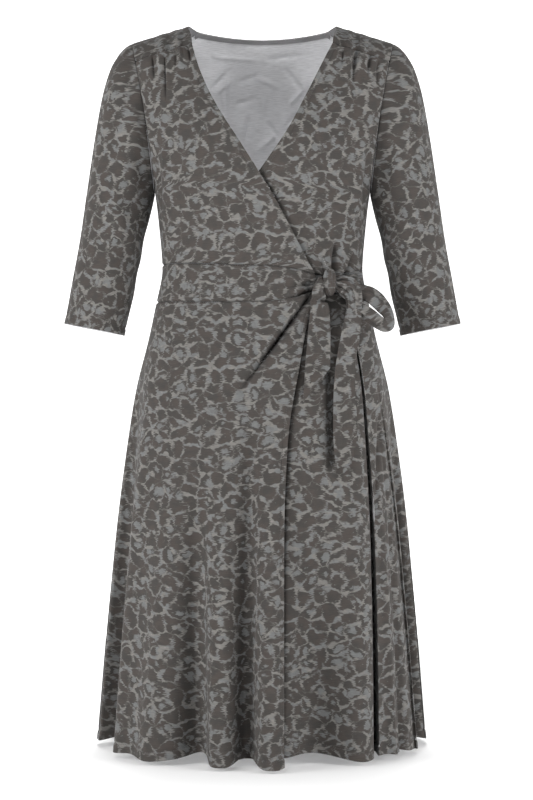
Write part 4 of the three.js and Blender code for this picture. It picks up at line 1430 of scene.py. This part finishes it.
# What each piece stands for, and the size that it was cut to
CUTS = make_table(
    ("piece", "node", "flat", "area"),
    ("bodice_over_cloth", "bodice_front_right", (0.27, 0.37), 0.052),
    ("bodice_under_cloth", "bodice_front_left", (0.26, 0.36), 0.055),
    ("bodice_back_cloth", "bodice_back", (0.40, 0.36), 0.117),
    ("yoke_right_cloth", "yoke_right", (0.10, 0.115), 0.0098),
    ("yoke_left_cloth", "yoke_left", (0.10, 0.115), 0.0098),
    ("sleeve_right_cloth", "sleeve_right", (0.38, 0.42), 0.098),
    ("sleeve_left_cloth", "sleeve_left", (0.38, 0.42), 0.098),
    ("band_over_cloth", "band_over", (0.278, 0.053), 0.0133),
    ("band_under_cloth", "band_under", (0.263, 0.052), 0.0101),
    ("band_back_cloth", "band_back", (0.39, 0.052), 0.0201),
    ("skirt_over_cloth", "skirt_front_right", (0.49, 0.645), 0.212),
    ("skirt_under_cloth", "skirt_front_left", (0.52, 0.636), 0.229),
    ("skirt_back_cloth", "skirt_back", (0.84, 0.63), 0.367),
    ("tie_hook_cloth", "tie_hook", (0.034, 0.17), 0.0045),
    ("tie_tail_cloth", "tie_tail_long", (0.033, 0.262), 0.0078),
    ("tie_loop_cloth", "tie_loop", (0.034, 0.200), 0.0064),
    ("tie_gathers_cloth", "tie_gathers", (0.055, 0.06), 0.0028),
)
for cut in CUTS:
    piece = dress(cut["piece"], [cut["node"]])
binding = dress("neck_binding_cloth", ["neck_binding"])
knot = dress("tie_knot_cloth", ["tie_knot"])


# Floor, lights and camera
FLOOR_GAP = 0.004
floor_z = CAD_BOX[0][2] - FLOOR_GAP


def stage_material(name, grey, glow):
    material = bpy.data.materials.new(name)
    material.use_nodes = True
    shader = material.node_tree.nodes["Principled BSDF"]
    shader.inputs["Base Color"].default_value = (grey, grey, grey, 1)
    shader.inputs["Roughness"].default_value = 0.9
    shader.inputs["Emission Color"].default_value = (1, 1, 1, 1)
    shader.inputs["Emission Strength"].default_value = glow
    return material


def make_sweep():
    """A pale floor that curves up into a backdrop, far enough off to see the dress from behind."""
    wide, front, floor_end, back, radius, high = 20.0, -12.0, 1.4, 9.0, 3.0, 12.0
    curve_steps = 12
    profile = [(front, 0.0), (floor_end, 0.0), (back - radius, 0.0)]
    for step in range(1, curve_steps + 1):
        turn = math.pi / 2 * step / curve_steps
        profile.append((back - radius + radius * math.sin(turn), radius * (1 - math.cos(turn))))
    profile.append((back, high))
    vertices = [(x, y, floor_z + z) for y, z in profile for x in (-wide, wide)]
    quads = [(2 * i, 2 * i + 1, 2 * i + 3, 2 * i + 2) for i in range(len(profile) - 1)]
    mesh = bpy.data.meshes.new("studio_floor")
    mesh.from_pydata(vertices, [], quads)
    mesh.polygons.foreach_set("use_smooth", [True] * len(quads))
    mesh.materials.append(stage_material("studio_backdrop", 0.93, 0.95))
    mesh.materials.append(stage_material("studio_floor", 0.8, 0.16))
    mesh.polygons[0].material_index = 1
    sweep = bpy.data.objects.new("studio_floor", mesh)
    bpy.context.scene.collection.objects.link(sweep)
    return sweep


def add_area(name, place, target, size, watts):
    light = bpy.data.lights.new(name, "AREA")
    light.shape = "DISK"
    light.size = size
    light.energy = watts
    lamp = bpy.data.objects.new(name, light)
    bpy.context.scene.collection.objects.link(lamp)
    lamp.location = place
    lamp.rotation_euler = (Vector(target) - Vector(place)).to_track_quat("-Z", "Y").to_euler()
    return lamp


sweep = make_sweep()
add_area("side_right", (-2.4, -1.5, -0.1), (0, 0, -0.5), 2.0, 84)
add_area("side_left", (2.4, -1.5, -0.15), (0, 0, -0.5), 2.0, 79)
add_area("front", (-0.4, -2.7, 2.0), (0, 0, -0.4), 1.0, 38)
floor_lamp = add_area("floor", (0, 0.8, 1.9), (0, 0, -1), 1.5, 75)
lit_by_floor_lamp = bpy.data.collections.new("lit_by_floor_lamp")
lit_by_floor_lamp.objects.link(sweep)
floor_lamp.light_linking.receiver_collection = lit_by_floor_lamp
world = bpy.data.worlds.new("studio")
world.use_nodes = True
world.node_tree.nodes["Background"].inputs[0].default_value = (1, 1, 1, 1)
world.node_tree.nodes["Background"].inputs[1].default_value = 0.085
bpy.context.scene.world = world
bpy.context.scene.view_settings.view_transform = "Standard"

# The camera looks level at the dress's middle, so that a millimetre of it is 1 / 1.4 pixel
CAMERA = {"x": 0.0056, "distance": 3.11, "z": -0.522, "lens": 100, "sensor": 36}
camera_data = bpy.data.cameras.new("camera")
camera_data.lens = CAMERA["lens"]
camera_data.sensor_width = CAMERA["sensor"]
camera_data.clip_end = 50
camera = bpy.data.objects.new("camera", camera_data)
bpy.context.scene.collection.objects.link(camera)
camera.location = (CAMERA["x"], -CAMERA["distance"], CAMERA["z"])
camera.rotation_euler = (math.pi / 2, 0, 0)
bpy.context.scene.camera = camera

bpy.context.view_layer.update()
